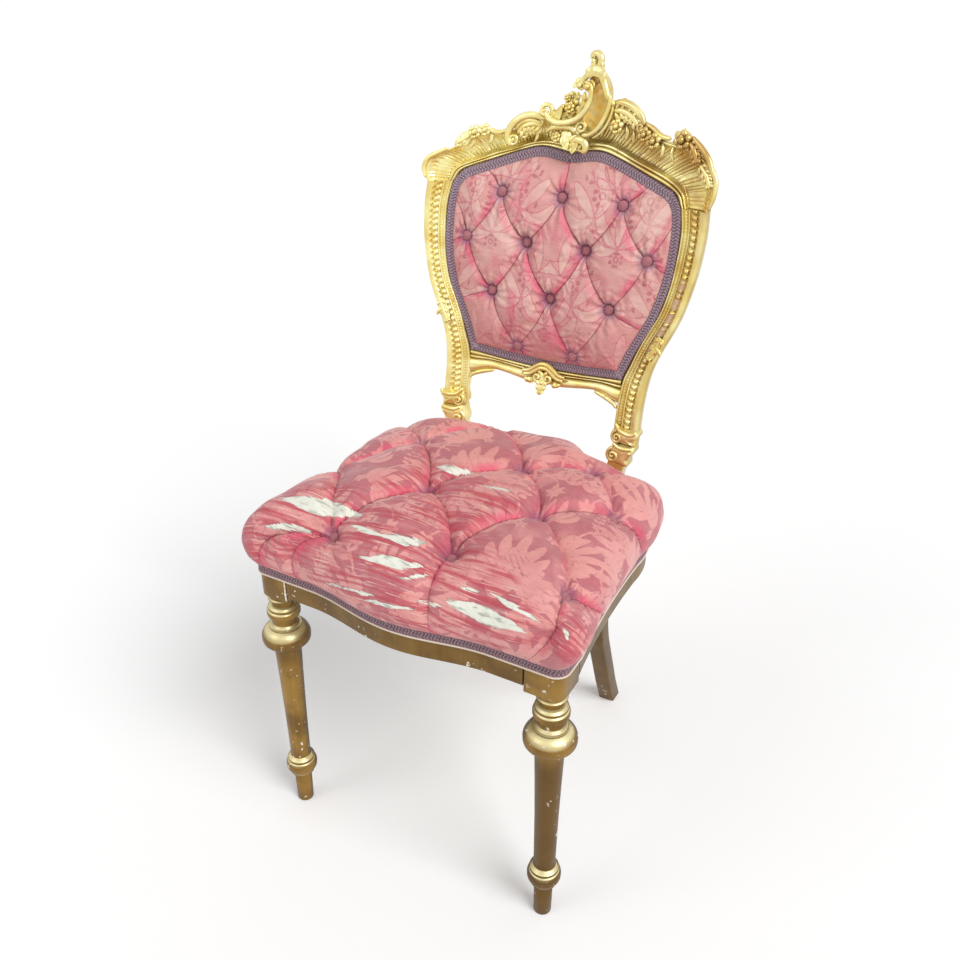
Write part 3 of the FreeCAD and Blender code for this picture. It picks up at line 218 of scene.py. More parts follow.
def smooth(piece: Piece, angle: float = 40.0) -> None:
    """Shade a piece smooth, with edges kept where faces meet at more than an angle."""
    take(piece)
    bpy.ops.object.shade_smooth_by_angle(angle=math.radians(angle))


def apply_modifier(piece: Piece, kind: str, **settings: object) -> None:
    """Add a modifier with its settings and apply it."""
    take(piece)
    modifier = piece.modifiers.new(kind.lower(), kind)
    for name, value in settings.items():
        setattr(modifier, name, value)
    bpy.ops.object.modifier_apply(modifier=modifier.name)


def join(pieces: list[Piece], name: str) -> Piece:
    """Join meshes into one named piece."""
    deselect()
    for piece in pieces:
        piece.select_set(True)
    bpy.context.view_layer.objects.active = pieces[0]
    bpy.ops.object.join()
    pieces[0].name = name
    pieces[0].data.name = name
    return pieces[0]


def draped_grid(name: str, places: Array, maps: dict[str, Array] | None = None,
                layout: Array | None = None, close: bool = True) -> Piece:
    """Lay a grid primitive over a table of places, then merge its seams and poles.

    Args:
        name: the piece's name.
        places: rows by columns of points.
        maps: values kept on the vertices for the materials, by name.
        layout: rows by columns of flat cloth coordinates for the UV map.
        close: whether open ends are filled.

    Returns:
        The finished mesh object.
    """
    rows, columns = places.shape[:2]
    deselect()
    bpy.ops.mesh.primitive_grid_add(x_subdivisions=columns - 1, y_subdivisions=rows - 1, size=2)
    piece = bpy.context.object
    piece.name = name
    mesh = piece.data
    mesh.name = name
    flat = np.empty(len(mesh.vertices) * 3)
    mesh.vertices.foreach_get("co", flat)
    flat = flat.reshape(-1, 3)
    column = np.rint((flat[:, 0] + 1) / 2 * (columns - 1)).astype(int)
    row = np.rint((flat[:, 1] + 1) / 2 * (rows - 1)).astype(int)
    mesh.vertices.foreach_set("co", places[row, column].ravel())
    for label, values in (maps or {}).items():
        kept = mesh.attributes.new(label, "FLOAT", "POINT")
        kept.data.foreach_set("value", values[row, column].astype(np.float32))
    if layout is not None:
        corners = np.empty(len(mesh.loops), dtype=np.int32)
        mesh.loops.foreach_get("vertex_index", corners)
        mesh.uv_layers[0].data.foreach_set("uv", layout[row, column][corners].astype(np.float32).ravel())
    mesh.update()
    tidy(piece, close)
    return piece


def swept(path: Array, across: Array, proud: Array) -> Array:
    """Sweep sections along a path of the back's elevation.

    Args:
        path: points as across, up, proud.
        across: for each point, the section's offsets sideways in the elevation.
        proud: for each point, the section's offsets out of the elevation.

    Returns:
        Rows by columns of points as across, up, proud.
    """
    along = np.gradient(path[:, :2], axis=0)
    along /= np.maximum(np.linalg.norm(along, axis=1), 1e-9)[:, None]
    made = np.repeat(path[:, None, :], across.shape[1], axis=1)
    made[..., 0] += along[:, None, 1] * across
    made[..., 1] -= along[:, None, 0] * across
    made[..., 2] += proud
    return made


def turned(name: str, profile: Array, sides: int) -> Piece:
    """Turn a piece by extruding and resizing a circle from level to level.

    Args:
        name: the piece's name.
        profile: radius and level of each step.
        sides: how many sides the circle has.

    Returns:
        The turned piece, about the Z axis.
    """
    deselect()
    bpy.ops.mesh.primitive_circle_add(vertices=sides, radius=profile[0, 0], fill_type="NGON")
    piece = bpy.context.object
    piece.name = name
    bpy.ops.object.mode_set(mode="EDIT")
    bpy.ops.mesh.select_all(action="SELECT")
    bpy.ops.transform.translate(value=(0, 0, profile[0, 1]))
    for (before, low), (radius, level) in zip(profile, profile[1:]):
        bpy.ops.mesh.extrude_region_move(TRANSFORM_OT_translate={"value": (0, 0, level - low)})
        ratio = radius / before
        bpy.ops.transform.resize(value=(ratio, ratio, 1), center_override=(0, 0, level))
    bpy.ops.object.mode_set(mode="OBJECT")
    tidy(piece)
    return piece


def copies(master: Piece, turns: list[Matrix], name: str) -> Piece:
    """Copy a master piece to each place, join the copies and drop the master."""
    made = []
    for turn in turns:
        copy = master.copy()
        copy.data = master.data.copy()
        copy.data.transform(turn)
        bpy.context.collection.objects.link(copy)
        made.append(copy)
    bpy.data.objects.remove(master)
    return join(made, name)


def node_copy(node: str, name: str) -> Piece:
    """Copy a node's mesh into a new piece, merged and smooth."""
    piece = bpy.data.objects.new(name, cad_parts[node].data.copy())
    bpy.context.collection.objects.link(piece)
    piece.data.materials.clear()
    tidy(piece, close=False, weld=WELD / 10)
    smooth(piece, 30)
    return piece


# Materials
class Nodes:
    """A tree of shader nodes that is put together step by step."""

    def __init__(self, tree: bpy.types.NodeTree) -> None:
        """Take up a tree."""
        self.tree = tree

    def plug(self, socket: Socket, value: object) -> None:
        """Link a socket, or set its value."""
        if isinstance(value, Socket):
            self.tree.links.new(value, socket)
        else:
            socket.default_value = value

    def node(self, kind: str, inputs: dict | None = None, **settings: object) -> bpy.types.Node:
        """Add a node with its settings and inputs."""
        made = self.tree.nodes.new(kind)
        for name, value in settings.items():
            setattr(made, name, value)
        for name, value in (inputs or {}).items():
            self.plug(made.inputs[name], value)
        return made

    def place(self, scale: tuple = (1, 1, 1), cloth: bool = False) -> Socket:
        """Give the object's own coordinates, or the cloth's flat ones, stretched by a scale."""
        source = self.node("ShaderNodeTexCoord").outputs["UV" if cloth else "Object"]
        return self.node("ShaderNodeMapping", {"Vector": source, "Scale": scale}).outputs[0]

    def axes(self, place: Socket) -> bpy.types.bpy_prop_collection:
        """Give a place's three coordinates, by their letters."""
        return self.node("ShaderNodeSeparateXYZ", {"Vector": place}).outputs

    def threads(self, along: float, across: float, detail: float) -> Socket:
        """Give noise that is drawn out along a cloth's threads."""
        return self.noise(self.place((along, across, 1), True), 1.0, detail)

    def kept(self, name: str) -> Socket:
        """Give a value kept on the mesh."""
        return self.node("ShaderNodeAttribute", attribute_name=name).outputs["Fac"]

    def noise(self, place: Socket, scale: float, detail: float = 4.0) -> Socket:
        """Give noise of a scale."""
        inputs = {"Vector": place, "Scale": scale, "Detail": detail}
        return self.node("ShaderNodeTexNoise", inputs).outputs[0]

    def wave(self, place: Socket, scale: float, way: str, ruffle: float = 0.0) -> Socket:
        """Give parallel threads along a direction."""
        return self.node("ShaderNodeTexWave", {"Vector": place, "Scale": scale, "Distortion": ruffle},
                         bands_direction=way).outputs["Fac"]

    def step(self, value: Socket, low: float, high: float) -> Socket:
        """Give a smooth step of a value, falling if low is over high."""
        made = self.node("ShaderNodeMapRange", {"Value": value}, interpolation_type="SMOOTHSTEP")
        ends = (low, high, 0.0, 1.0) if low < high else (high, low, 1.0, 0.0)
        for name, end in zip(("From Min", "From Max", "To Min", "To Max"), ends):
            made.inputs[name].default_value = end
        return made.outputs[0]

    def sum(self, way: str, first: object, second: object = 0.0) -> Socket:
        """Combine two values."""
        made = self.node("ShaderNodeMath", operation=way)
        self.plug(made.inputs[0], first)
        self.plug(made.inputs[1], second)
        return made.outputs[0]

    def times(self, first: object, second: object) -> Socket:
        """Multiply two values."""
        return self.sum("MULTIPLY", first, second)

    def plus(self, first: object, second: object) -> Socket:
        """Add two values."""
        return self.sum("ADD", first, second)

    def minus(self, first: object, second: object) -> Socket:
        """Take the second value from the first."""
        return self.sum("SUBTRACT", first, second)

    def most(self, first: object, second: object) -> Socket:
        """Give the greater of two values."""
        return self.sum("MAXIMUM", first, second)

    def tint(self, base: object, code: str, share: object, strength: object) -> Socket:
        """Lay a screen colour over a base colour, by a share of a strength."""
        return self.mix(self.times(share, strength), base, hue(code))

    def mix(self, share: object, first: object, second: object) -> Socket:
        """Mix two colours."""
        made = self.node("ShaderNodeMix", data_type="RGBA")
        self.plug(made.inputs[0], share)
        self.plug(made.inputs[6], first)
        self.plug(made.inputs[7], second)
        return made.outputs[2]

    def blend(self, share: object, first: object, second: object) -> Socket:
        """Mix two numbers."""
        made = self.node("ShaderNodeMix", data_type="FLOAT")
        self.plug(made.inputs[0], share)
        self.plug(made.inputs[2], first)
        self.plug(made.inputs[3], second)
        return made.outputs[0]

    def hollow(self, reach: float) -> Socket:
        """Give how open a spot is to its surroundings, from 0 in a crevice to 1."""
        return self.node("ShaderNodeAmbientOcclusion", {"Distance": reach}, samples=8).outputs["AO"]

    def turned_to(self, way: tuple[float, float, float]) -> Socket:
        """Give how far a surface faces a direction, from -1 to 1."""
        normal = self.node("ShaderNodeNewGeometry").outputs["Normal"]
        made = self.node("ShaderNodeVectorMath", operation="DOT_PRODUCT")
        self.plug(made.inputs[0], normal)
        self.plug(made.inputs[1], way)
        return made.outputs["Value"]

    def bump(self, height: Socket, depth: float, strength: float = 1.0,
             normal: Socket | None = None) -> Socket:
        """Give a surface direction with relief of a depth."""
        made = self.node("ShaderNodeBump", {"Height": height, "Distance": depth, "Strength": strength})
        if normal is not None:
            self.plug(made.inputs["Normal"], normal)
        return made.outputs[0]


class Shader(Nodes):
    """The nodes of one material."""

    def __init__(self, name: str) -> None:
        """Start a material with its own surface shader."""
        self.material = bpy.data.materials.new(name)
        self.material.use_nodes = True
        super().__init__(self.material.node_tree)
        self.surface = self.tree.nodes["Principled BSDF"]

    def set(self, **values: object) -> Material:
        """Set the surface's sockets and give the material."""
        for name, value in values.items():
            self.plug(self.surface.inputs[name.replace("_", " ")], value)
        return self.material


@dataclass(frozen=True)
class GoldLeaf:
    """Burnished leaf over gesso: lemon on rounds, lost in spots, with painted shade: brown in hollows and on
    undersides, duller and browner to the right.
    """

    bright: str = "FBF1AC"
    warm: str = "EAD480"
    # Painted shade colour for the right side.
    right_shade: str = "B58B47"
    # Painted shade colour for hollows.
    hollow: str = "7C5A1E"
    gesso: str = "DDBB9C"
    # Painted shade colour for faces turned from the light.
    under: str = "94702C"
    amber: str = "FFC648"
    hollow_reach: float = 0.005
    # The light direction for the painted underside shade.
    shade_lit_from: tuple[float, float, float] = (-0.35, -0.45, 0.82)

    def material(self) -> Material:
        """Build the material."""
        s = Shader("gold_leaf")
        place = s.place()
        axes = s.axes(place)
        right = s.step(axes["X"], -0.05, 0.15)
        speck = s.noise(place, 420.0, 6.0)
        leaf = s.mix(s.step(s.noise(place, 38.0), 0.35, 0.62), hue(self.warm), hue(self.bright))
        # Painted shade: patches of duller brown on the right side, most on the crest.
        dull = s.times(right, s.step(s.noise(place, 26.0, 5.0), 0.3, 0.62))
        dull = s.times(dull, s.blend(s.step(axes["Z"], 0.74, 0.79), 0.3, 0.8))
        leaf = s.mix(dull, leaf, hue(self.right_shade))
        # Painted shade grows stronger to the right and weaker on the amber parts.
        right_shade_weight = s.blend(right, 0.34, 0.85)
        amber = s.times(s.kept("amber"), 0.8)
        right_shade_weight = s.times(right_shade_weight, s.minus(1.0, amber))
        glow = s.mix(s.step(s.noise(place, 70.0), 0.4, 0.62), hue(self.amber), hue(self.warm))
        leaf = s.mix(amber, leaf, glow)
        # Painted shade on faces turned away from a fixed light direction.
        under = s.times(s.step(s.turned_to(self.shade_lit_from), 0.4, -0.6), 0.7)
        leaf = s.tint(leaf, self.under, under, right_shade_weight)
        # Painted shade in the hollows, from ambient occlusion with fine speckle; it also roughens them.
        recess_shade = s.plus(s.hollow(self.hollow_reach), s.times(s.minus(speck, 0.5), 0.3))
        leaf = s.tint(leaf, self.hollow, s.step(recess_shade, 0.6, 0.14), right_shade_weight)
        lost = s.most(s.kept("loss"), s.step(s.noise(place, 85.0, 5.0), 0.715, 0.735))
        colour = s.mix(lost, leaf, hue(self.gesso))
        relief = s.bump(speck, 0.0004, 0.3, s.bump(s.noise(place, 150.0, 3.0), 0.0008, 0.25))
        shine = s.blend(s.most(lost, amber), 0.66, 0.0)
        rough = s.blend(lost, s.blend(s.step(recess_shade, 0.3, 0.9), 0.5, 0.2), 0.7)
        return s.set(Base_Color=colour, Metallic=shine, Roughness=rough, Normal=relief)


@dataclass(frozen=True)
class BronzePaint:
    """Satin bronze paint over gesso on the legs and rails, chipped to white and cracked at a joint, with
    painted shade to the lower right, on faces turned from the light and in grooves, and a painted highlight
    on lit tops.
    """

    paint: str = "9A7634"
    dull: str = "755622"
    low: str = "583D14"
    # Painted shade colour for grooves.
    hollow: str = "3A290D"
    chip: str = "EFE6D2"
    under: str = "412D0D"
    # Painted highlight colour for lit tops.
    lit_top_highlight: str = "EADDA8"
    streaked: str = "CBA858"
    lit_from: tuple[float, float, float] = (0.4, -0.77, 0.5)
    # The direction that the painted highlight's tops face.
    highlight_from: tuple[float, float, float] = (0.1, -0.25, 0.96)
    crack_across: float = -0.1585
    crack_front: float = -0.2
    crack_base: float = 0.346

    def material(self) -> Material:
        """Build the material."""
        s = Shader("bronze_paint")
        place = s.place()
        axes = s.axes(place)
        streak = s.noise(s.place((1, 1, 0.12)), 120.0, 3.0)
        coat = s.mix(s.step(s.noise(place, 24.0), 0.36, 0.66), hue(self.dull), hue(self.paint))
        coat = s.tint(coat, self.streaked, s.step(streak, 0.5, 0.75), 0.14)
        shaded = s.times(s.step(axes["X"], -0.16, 0.18), s.step(axes["Z"], 0.3, 0.22))
        coat = s.tint(coat, self.low, shaded, 0.8)
        rail = s.times(s.step(axes["Z"], 0.34, 0.35), s.step(s.sum("ABSOLUTE", axes["X"]), 0.163, 0.157))
        coat = s.tint(coat, self.low, rail, 0.5)
        lit = s.turned_to(self.lit_from)
        coat = s.tint(coat, self.under, s.step(lit, 0.62, 0.05), 0.85)
        # Painted highlight on lit faces turned upwards.
        turned_up = s.times(s.step(s.turned_to(self.highlight_from), 0.5, 0.85), s.step(lit, 0.2, 0.5))
        coat = s.tint(coat, self.lit_top_highlight, turned_up, 0.85)
        # Painted shade in grooves and recesses, from ambient occlusion.
        opened = s.hollow(0.004)
        coat = s.mix(s.step(opened, 0.25, 0.8), hue(self.hollow), coat)
        sound = s.times(s.step(axes["Y"], 0.02, 0.1), 0.1)
        knocked = s.step(s.minus(s.noise(place, 16.0, 2.0), sound), 0.48, 0.6)
        chips = s.times(s.step(s.noise(place, 150.0, 5.0), 0.655, 0.67), knocked)
        aside = s.sum("ABSOLUTE", s.minus(axes["X"], self.crack_across))
        wander = s.plus(aside, s.times(s.minus(s.noise(place, 180.0), 0.5), 0.003))
        crack = s.times(s.step(wander, 0.0014, 0.0008), s.step(axes["Y"], self.crack_front, -0.206))
        chips = s.most(chips, s.times(crack, s.step(axes["Z"], self.crack_base, 0.352)))
        colour = s.mix(chips, coat, hue(self.chip))
        relief = s.bump(s.noise(place, 260.0, 4.0), 0.0006, 0.25)
        relief = s.bump(s.minus(1.0, chips), 0.0006, 0.6, relief)
        shine = s.blend(chips, 0.55, 0.0)
        rough = s.blend(streak, 0.3, 0.46)
        return s.set(Base_Color=colour, Metallic=shine, Roughness=rough, Normal=relief)


@dataclass(frozen=True)
class BareBeech:
    """Unfinished beech inside the seat, with flecks along the grain."""

    pale: str = "C9A57A"
    dark: str = "A17B50"
    fleck: str = "7C5A38"

    def material(self) -> Material:
        """Build the material."""
        s = Shader("bare_beech")
        grain = s.noise(s.place((1, 8, 8)), 30.0, 6.0)
        flecks = s.step(s.noise(s.place((3, 30, 30)), 40.0, 2.0), 0.6, 0.72)
        colour = s.mix(s.step(grain, 0.3, 0.7), hue(self.dark), hue(self.pale))
        colour = s.tint(colour, self.fleck, flecks, 0.5)
        rough = s.blend(grain, 0.55, 0.75)
        return s.set(Base_Color=colour, Roughness=rough, Normal=s.bump(grain, 0.0005, 0.4))


@dataclass(frozen=True)
class BlackSteel:
    """Drawn spring wire and screws, dark with light rust."""

    wire: str = "3A3835"
    rust: str = "6B4226"

    def material(self) -> Material:
        """Build the material."""
        s = Shader("black_steel")
        spots = s.noise(s.place(), 90.0, 6.0)
        rust = s.step(spots, 0.55, 0.68)
        colour = s.mix(rust, hue(self.wire), hue(self.rust))
        return s.set(Base_Color=colour, Metallic=s.blend(rust, 0.8, 0.1), Roughness=s.blend(rust, 0.38, 0.8),
                     Normal=s.bump(spots, 0.0003, 0.4))


@dataclass(frozen=True)
class Jute:
    """Woven jute: coarse webbing or finer canvas."""

    name: str
    pale: str
    dark: str
    threads: float
    striped: bool
    soil: str = "8C6E45"
    stripe: str = "5F4630"

    def material(self) -> Material:
        """Build the material."""
        s = Shader(self.name)
        place = s.place()
        warp = s.wave(place, self.threads, "X", 0.6)
        weft = s.wave(place, self.threads, "Y", 0.6)
        weave = s.times(warp, weft)
        colour = s.mix(s.step(weave, 0.05, 0.6), hue(self.dark), hue(self.pale))
        colour = s.tint(colour, self.soil, s.noise(place, 35.0), 0.45)
        if self.striped:
            line = s.step(s.wave(place, 4.5, "DIAGONAL"), 0.9, 0.97)
            colour = s.tint(colour, self.stripe, line, 0.35)
        return s.set(Base_Color=colour, Roughness=0.9, Normal=s.bump(weave, 0.0008, 0.8))


@dataclass(frozen=True)
class Damask:
    """Salmon damask: pale figures on a mauve rose ground, shreds and tears, with painted light: a hot pink
    highlight beside the folds, and shade round the buttons and in the creases.
    """

    name: str
    figure: str = "E39A95"
    ground: str = "BC6C74"
    line: str = "A85A63"
    fold: str = "E24F70"
    shade: str = "9A5F80"
    shred: str = "BE4553"
    light: str = "EEAAA2"
    lining: str = "EDEDE0"
    batting: str = "B9BFAE"
    bare_thread: str = "F0C9BC"
    crease: str = "6E3440"
    figure_strength: float = 1.0
    deep_below: float = 0.0
    flush: float = 0.0

    def material(self) -> Material:
        """Build the material from the drawing, folds and wear that are kept on the mesh."""
        s = Shader(self.name)
        cloth = s.place(cloth=True)
        ragged = s.times(s.minus(s.noise(cloth, 190.0, 4.0), 0.5), 2.2)
        figure = s.times(s.step(s.plus(s.kept("figure"), ragged), -0.25, 0.35), self.figure_strength)
        colour = s.mix(figure, hue(self.ground), hue(self.figure))
        lines = s.times(s.step(s.plus(s.kept("veins"), s.times(ragged, 0.5)), 0.0, 0.7), 0.75)
        pale = s.step(s.plus(s.kept("pale"), ragged), 4.8, 5.3)
        colour = s.tint(colour, self.light, pale, 0.5)
        colour = s.mix(lines, colour, hue(self.line))
        cloud = s.noise(cloth, 19.0, 4.0)
        colour = s.tint(colour, self.light, s.step(cloud, 0.5, 0.72), 0.5)
        colour = s.tint(colour, self.shred, s.step(cloud, 0.48, 0.3), 0.3)
        level = s.axes(s.place())["Z"]
        low = s.step(level, self.deep_below, self.deep_below - 0.09)
        colour = s.tint(colour, self.shred, low, 0.5)
        brushed = s.step(s.threads(30, 13, 5.0), 0.52, 0.68)
        colour = s.tint(colour, self.fold, brushed, self.flush)
        mottle = s.step(s.threads(110, 620, 3.0), 0.42, 0.7)
        colour = s.tint(colour, self.light, mottle, 0.2)
        streak = s.threads(10, 150, 6.0)
        wear = s.kept("wear")
        shredded = s.times(s.step(streak, 0.44, 0.6), wear)
        colour = s.tint(colour, self.shred, shredded, 0.85)
        thread = s.times(s.step(s.threads(26, 420, 4.0), 0.58, 0.68), wear)
        colour = s.tint(colour, self.bare_thread, thread, 0.7)
        near, aside = s.kept("near"), s.kept("aside")
        # Painted highlight: hot pink on one side of each fold, near the crease.
        flap = s.times(s.step(aside, 13.0, 0.5), s.step(aside, -2.0, 0.2))
        hot = s.times(s.times(flap, near), s.step(s.noise(cloth, 24.0, 3.0), 0.4, 0.62))
        colour = s.tint(colour, self.fold, hot, 0.8)
        tuft = s.kept("tuft")
        colour = s.tint(colour, self.shade, s.step(tuft, 0.2, 1.0), 0.8)
        # Painted shade: a dark line along each crease.
        slit = s.times(s.step(s.sum("ABSOLUTE", aside), 0.8, 0.3), near)
        colour = s.tint(colour, self.crease, slit, 0.62)
        frayed = s.minus(s.threads(30, 330, 4.0), 0.5)
        frayed = s.plus(s.times(frayed, 9.0), s.times(ragged, 0.4))
        torn = s.step(s.plus(s.kept("tear"), frayed), 4.9, 5.15)
        tufts = s.step(s.threads(60, 240, 4.0), 0.5, 0.66)
        colour = s.mix(torn, colour, s.mix(tufts, hue(self.lining), hue(self.batting)))
        warp = s.wave(cloth, 420.0, "X", 0.3)
        weft = s.wave(cloth, 420.0, "Y", 0.3)
        weave = s.bump(s.times(warp, weft), 0.00025, 0.5)
        creased = s.bump(s.noise(cloth, 48.0, 4.0), 0.007, 0.6, weave)
        relief = s.bump(streak, 0.0022, 0.3, creased)
        relief = s.bump(s.minus(1.0, torn), 0.0016, 0.8, relief)
        rough = s.blend(figure, 0.62, 0.48)
        return s.set(Base_Color=colour, Roughness=rough, Normal=relief, Sheen_Weight=0.25,
                     Sheen_Roughness=0.4)


@dataclass(frozen=True)
class GimpBraid:
    """Mauve silk braid."""

    name: str
    pale: str
    dark: str
    fleck: str
    soil: str = "6E4A60"
    thread: float = 0.0012

    def material(self) -> Material:
        """Build the material from the plait and the flat coordinates along and across the braid."""
        s = Shader(self.name)
        flat = s.place((1 / self.thread, 1 / self.thread, 1), True)
        strand = s.noise(flat, 0.9, 3.0)
        axes = s.axes(flat)
        twist = s.sum("SINE", s.plus(s.times(axes["X"], 2.6), s.times(axes["Y"], 2.6)))
        plait = s.plus(s.kept("plait"), s.times(s.minus(strand, 0.5), 0.9))
        plait = s.plus(plait, s.times(twist, 0.14))
        colour = s.mix(s.step(plait, 0.2, 0.95), hue(self.dark), hue(self.pale))
        colour = s.tint(colour, self.fleck, s.step(strand, 0.56, 0.7), 0.6)
        colour = s.tint(colour, self.soil, s.noise(s.place(), 30.0), 0.3)
        relief = s.bump(plait, 0.0006, 0.7, s.bump(strand, 0.0004, 0.5))
        return s.set(Base_Color=colour, Roughness=0.6, Normal=relief, Sheen_Weight=0.2)


@dataclass(frozen=True)
class CreamCord:
    """Cream cord along the braid's lower edge, darker in its crevices by painted shade."""

    pale: str = "E3D3C4"
    dark: str = "A78C86"

    def material(self) -> Material:
        """Build the material."""
        s = Shader("cream_cord")
        # Painted shade in the cord's crevices, from ambient occlusion.
        colour = s.mix(s.step(s.hollow(0.0012), 0.4, 0.9), hue(self.dark), hue(self.pale))
        relief = s.bump(s.noise(s.place(), 700.0), 0.0003, 0.5)
        return s.set(Base_Color=colour, Roughness=0.75, Normal=relief)


def finish(piece: Piece, slot: Slot, material: Material, *nodes: str) -> None:
    """Dress a piece, let it ride on the chair and hide the nodes that it stands for."""
    piece.data.materials.clear()
    piece.data.materials.append(material)
    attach(piece, ROOT)
    if nodes:
        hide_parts(*nodes)
    LOG.info("%s: %d faces, %s", piece.name, len(piece.data.polygons), slot.value)


@dataclass(frozen=True)
class PhotoCamera:
    """The photograph's viewpoint."""

    place: tuple[float, float, float] = (0.49892, -0.90302, 1.01833)
    azimuth: float = 29.547
    elevation: float = 28.616
    focal_pixels: float = 958.2
    frame_pixels: float = 960.0
    sensor: float = 36.0

    def axes(self) -> tuple[Vector, Vector, Vector]:
        """Give the camera's right, up and backward directions."""
        turn, rise = math.radians(self.azimuth), math.radians(self.elevation)
        back = Vector((math.sin(turn) * math.cos(rise), -math.cos(turn) * math.cos(rise), math.sin(rise)))
        right = Vector((math.cos(turn), math.sin(turn), 0))
        return right, back.cross(right), back

    def pixels(self, points: Array) -> Array:
        """Give where points fall in the photograph's frame."""
        right, up, back = (np.array(axis) for axis in self.axes())
        rays = points - np.array(self.place)
        depth = -(rays @ back)
        middle = self.frame_pixels / 2
        across = middle + self.focal_pixels * (rays @ right) / depth
        down = middle - self.focal_pixels * (rays @ up) / depth
        return np.stack([across, down], axis=-1)

    def add(self) -> None:
        """Add the camera and look through it."""
        data = bpy.data.cameras.new("photo_camera")
        data.sensor_width = self.sensor
        data.lens = self.focal_pixels / self.frame_pixels * self.sensor
        camera = bpy.data.objects.new("photo_camera", data)
        camera.location = self.place
        camera.rotation_euler = (-self.axes()[2]).to_track_quat("-Z", "Y").to_euler()
        bpy.context.collection.objects.link(camera)
        bpy.context.scene.camera = camera


@dataclass(frozen=True)
class BackSurface:
    """The leaning surface, hollowed in plan, that the back's proudest faces touch."""

    base_height: float = 0.487
    base_depth: float = 0.134
    lean: float = math.radians(11)
    sag: float = 0.025
    half_width: float = 0.186

    def depth(self, across: Array, up: Array) -> Array:
        """Give the surface's depth."""
        rise = (up - self.base_height) * math.tan(self.lean)
        return self.base_depth + rise - self.sag * (across / self.half_width) ** 2

    def lift(self, flat: Array) -> Array:
        """Place points given as across, up, proud."""
        across, up, proud = flat[..., 0], flat[..., 1], flat[..., 2]
        return np.stack([across, self.depth(across, up) - proud, up], axis=-1)


@dataclass(frozen=True)
class SeatPlan:
    """The seat frame's outline from above."""

    half_width: float = 0.201
    front: float = -0.209
    front_bow: float = 0.017
    bow_half_span: float = 0.120
    block_round: float = 0.014
    side_front: float = -0.165
    waist_half: float = 0.188
    waist_depth: float = 0.025
    waist_hollow: float = 0.004
    rear_half: float = 0.120
    rear: float = 0.13895
    rear_round: float = 0.024
    middle: tuple[float, float] = (0.0, -0.042)

    def half(self) -> Array:
        """Give the right half, from the front middle round to the rear middle."""
        share = np.linspace(0, 1, 24)
        bow = np.stack([share * self.bow_half_span,
                        self.front - self.front_bow * (0.5 + 0.5 * np.cos(math.pi * share))], axis=1)
        turn = share * math.pi / 2
        inner = np.array([self.half_width - self.block_round, self.front + self.block_round])
        corner = inner + self.block_round * np.stack([np.sin(turn), -np.cos(turn)], axis=1)
        ends = np.array([[self.half_width, self.side_front], [self.waist_half, self.waist_depth],
                         [self.rear_half, self.rear]])
        swell = (4 * share * (1 - share))[:, None]
        stretches = [bow, corner]
        for (start, end), rise in zip(zip(ends, ends[1:]), (-self.waist_hollow, self.rear_round)):
            chord = end - start
            sideways = np.array([chord[1], -chord[0]]) / np.linalg.norm(chord)
            stretches.append(start + share[:, None] * chord + swell * rise * sideways)
        return np.vstack([*stretches, [[0.0, self.rear]]])

    def outline(self, count: int, grow: float = 0.0) -> Array:
        """Give the closed outline, counter-clockwise from the front middle, moved outwards by grow."""
        return closed(self.half(), count, grow)


@dataclass(frozen=True)
class PanelPlan:
    """The back panel's outline in elevation."""

    bottom: tuple = ((0.0, 0.549), (0.0564, 0.5522), (0.1076, 0.5578))
    side: tuple = ((0.1076, 0.5578), (0.1223, 0.5949), (0.1419, 0.636), (0.1546, 0.6849), (0.1566, 0.7351),
                   (0.1516, 0.767), (0.139, 0.7829))
    top: tuple = ((0.139, 0.7829), (0.0988, 0.7976), (0.0608, 0.8109), (0.035, 0.816), (0.0, 0.8109))
    middle: tuple[float, float] = (0.0, 0.690)

    def outline(self, count: int, grow: float = 0.0) -> Array:
        """Give the closed outline, counter-clockwise from the lowest middle, moved outwards by grow."""
        half = np.vstack([smooth_path(self.bottom, 60), smooth_path(self.side, 120)[1:],
                          smooth_path(self.top, 90)[1:]])
        return closed(half, count, grow)


SURFACE = BackSurface()
SEAT = SeatPlan()
PANEL = PanelPlan()
CAMERA = PhotoCamera()


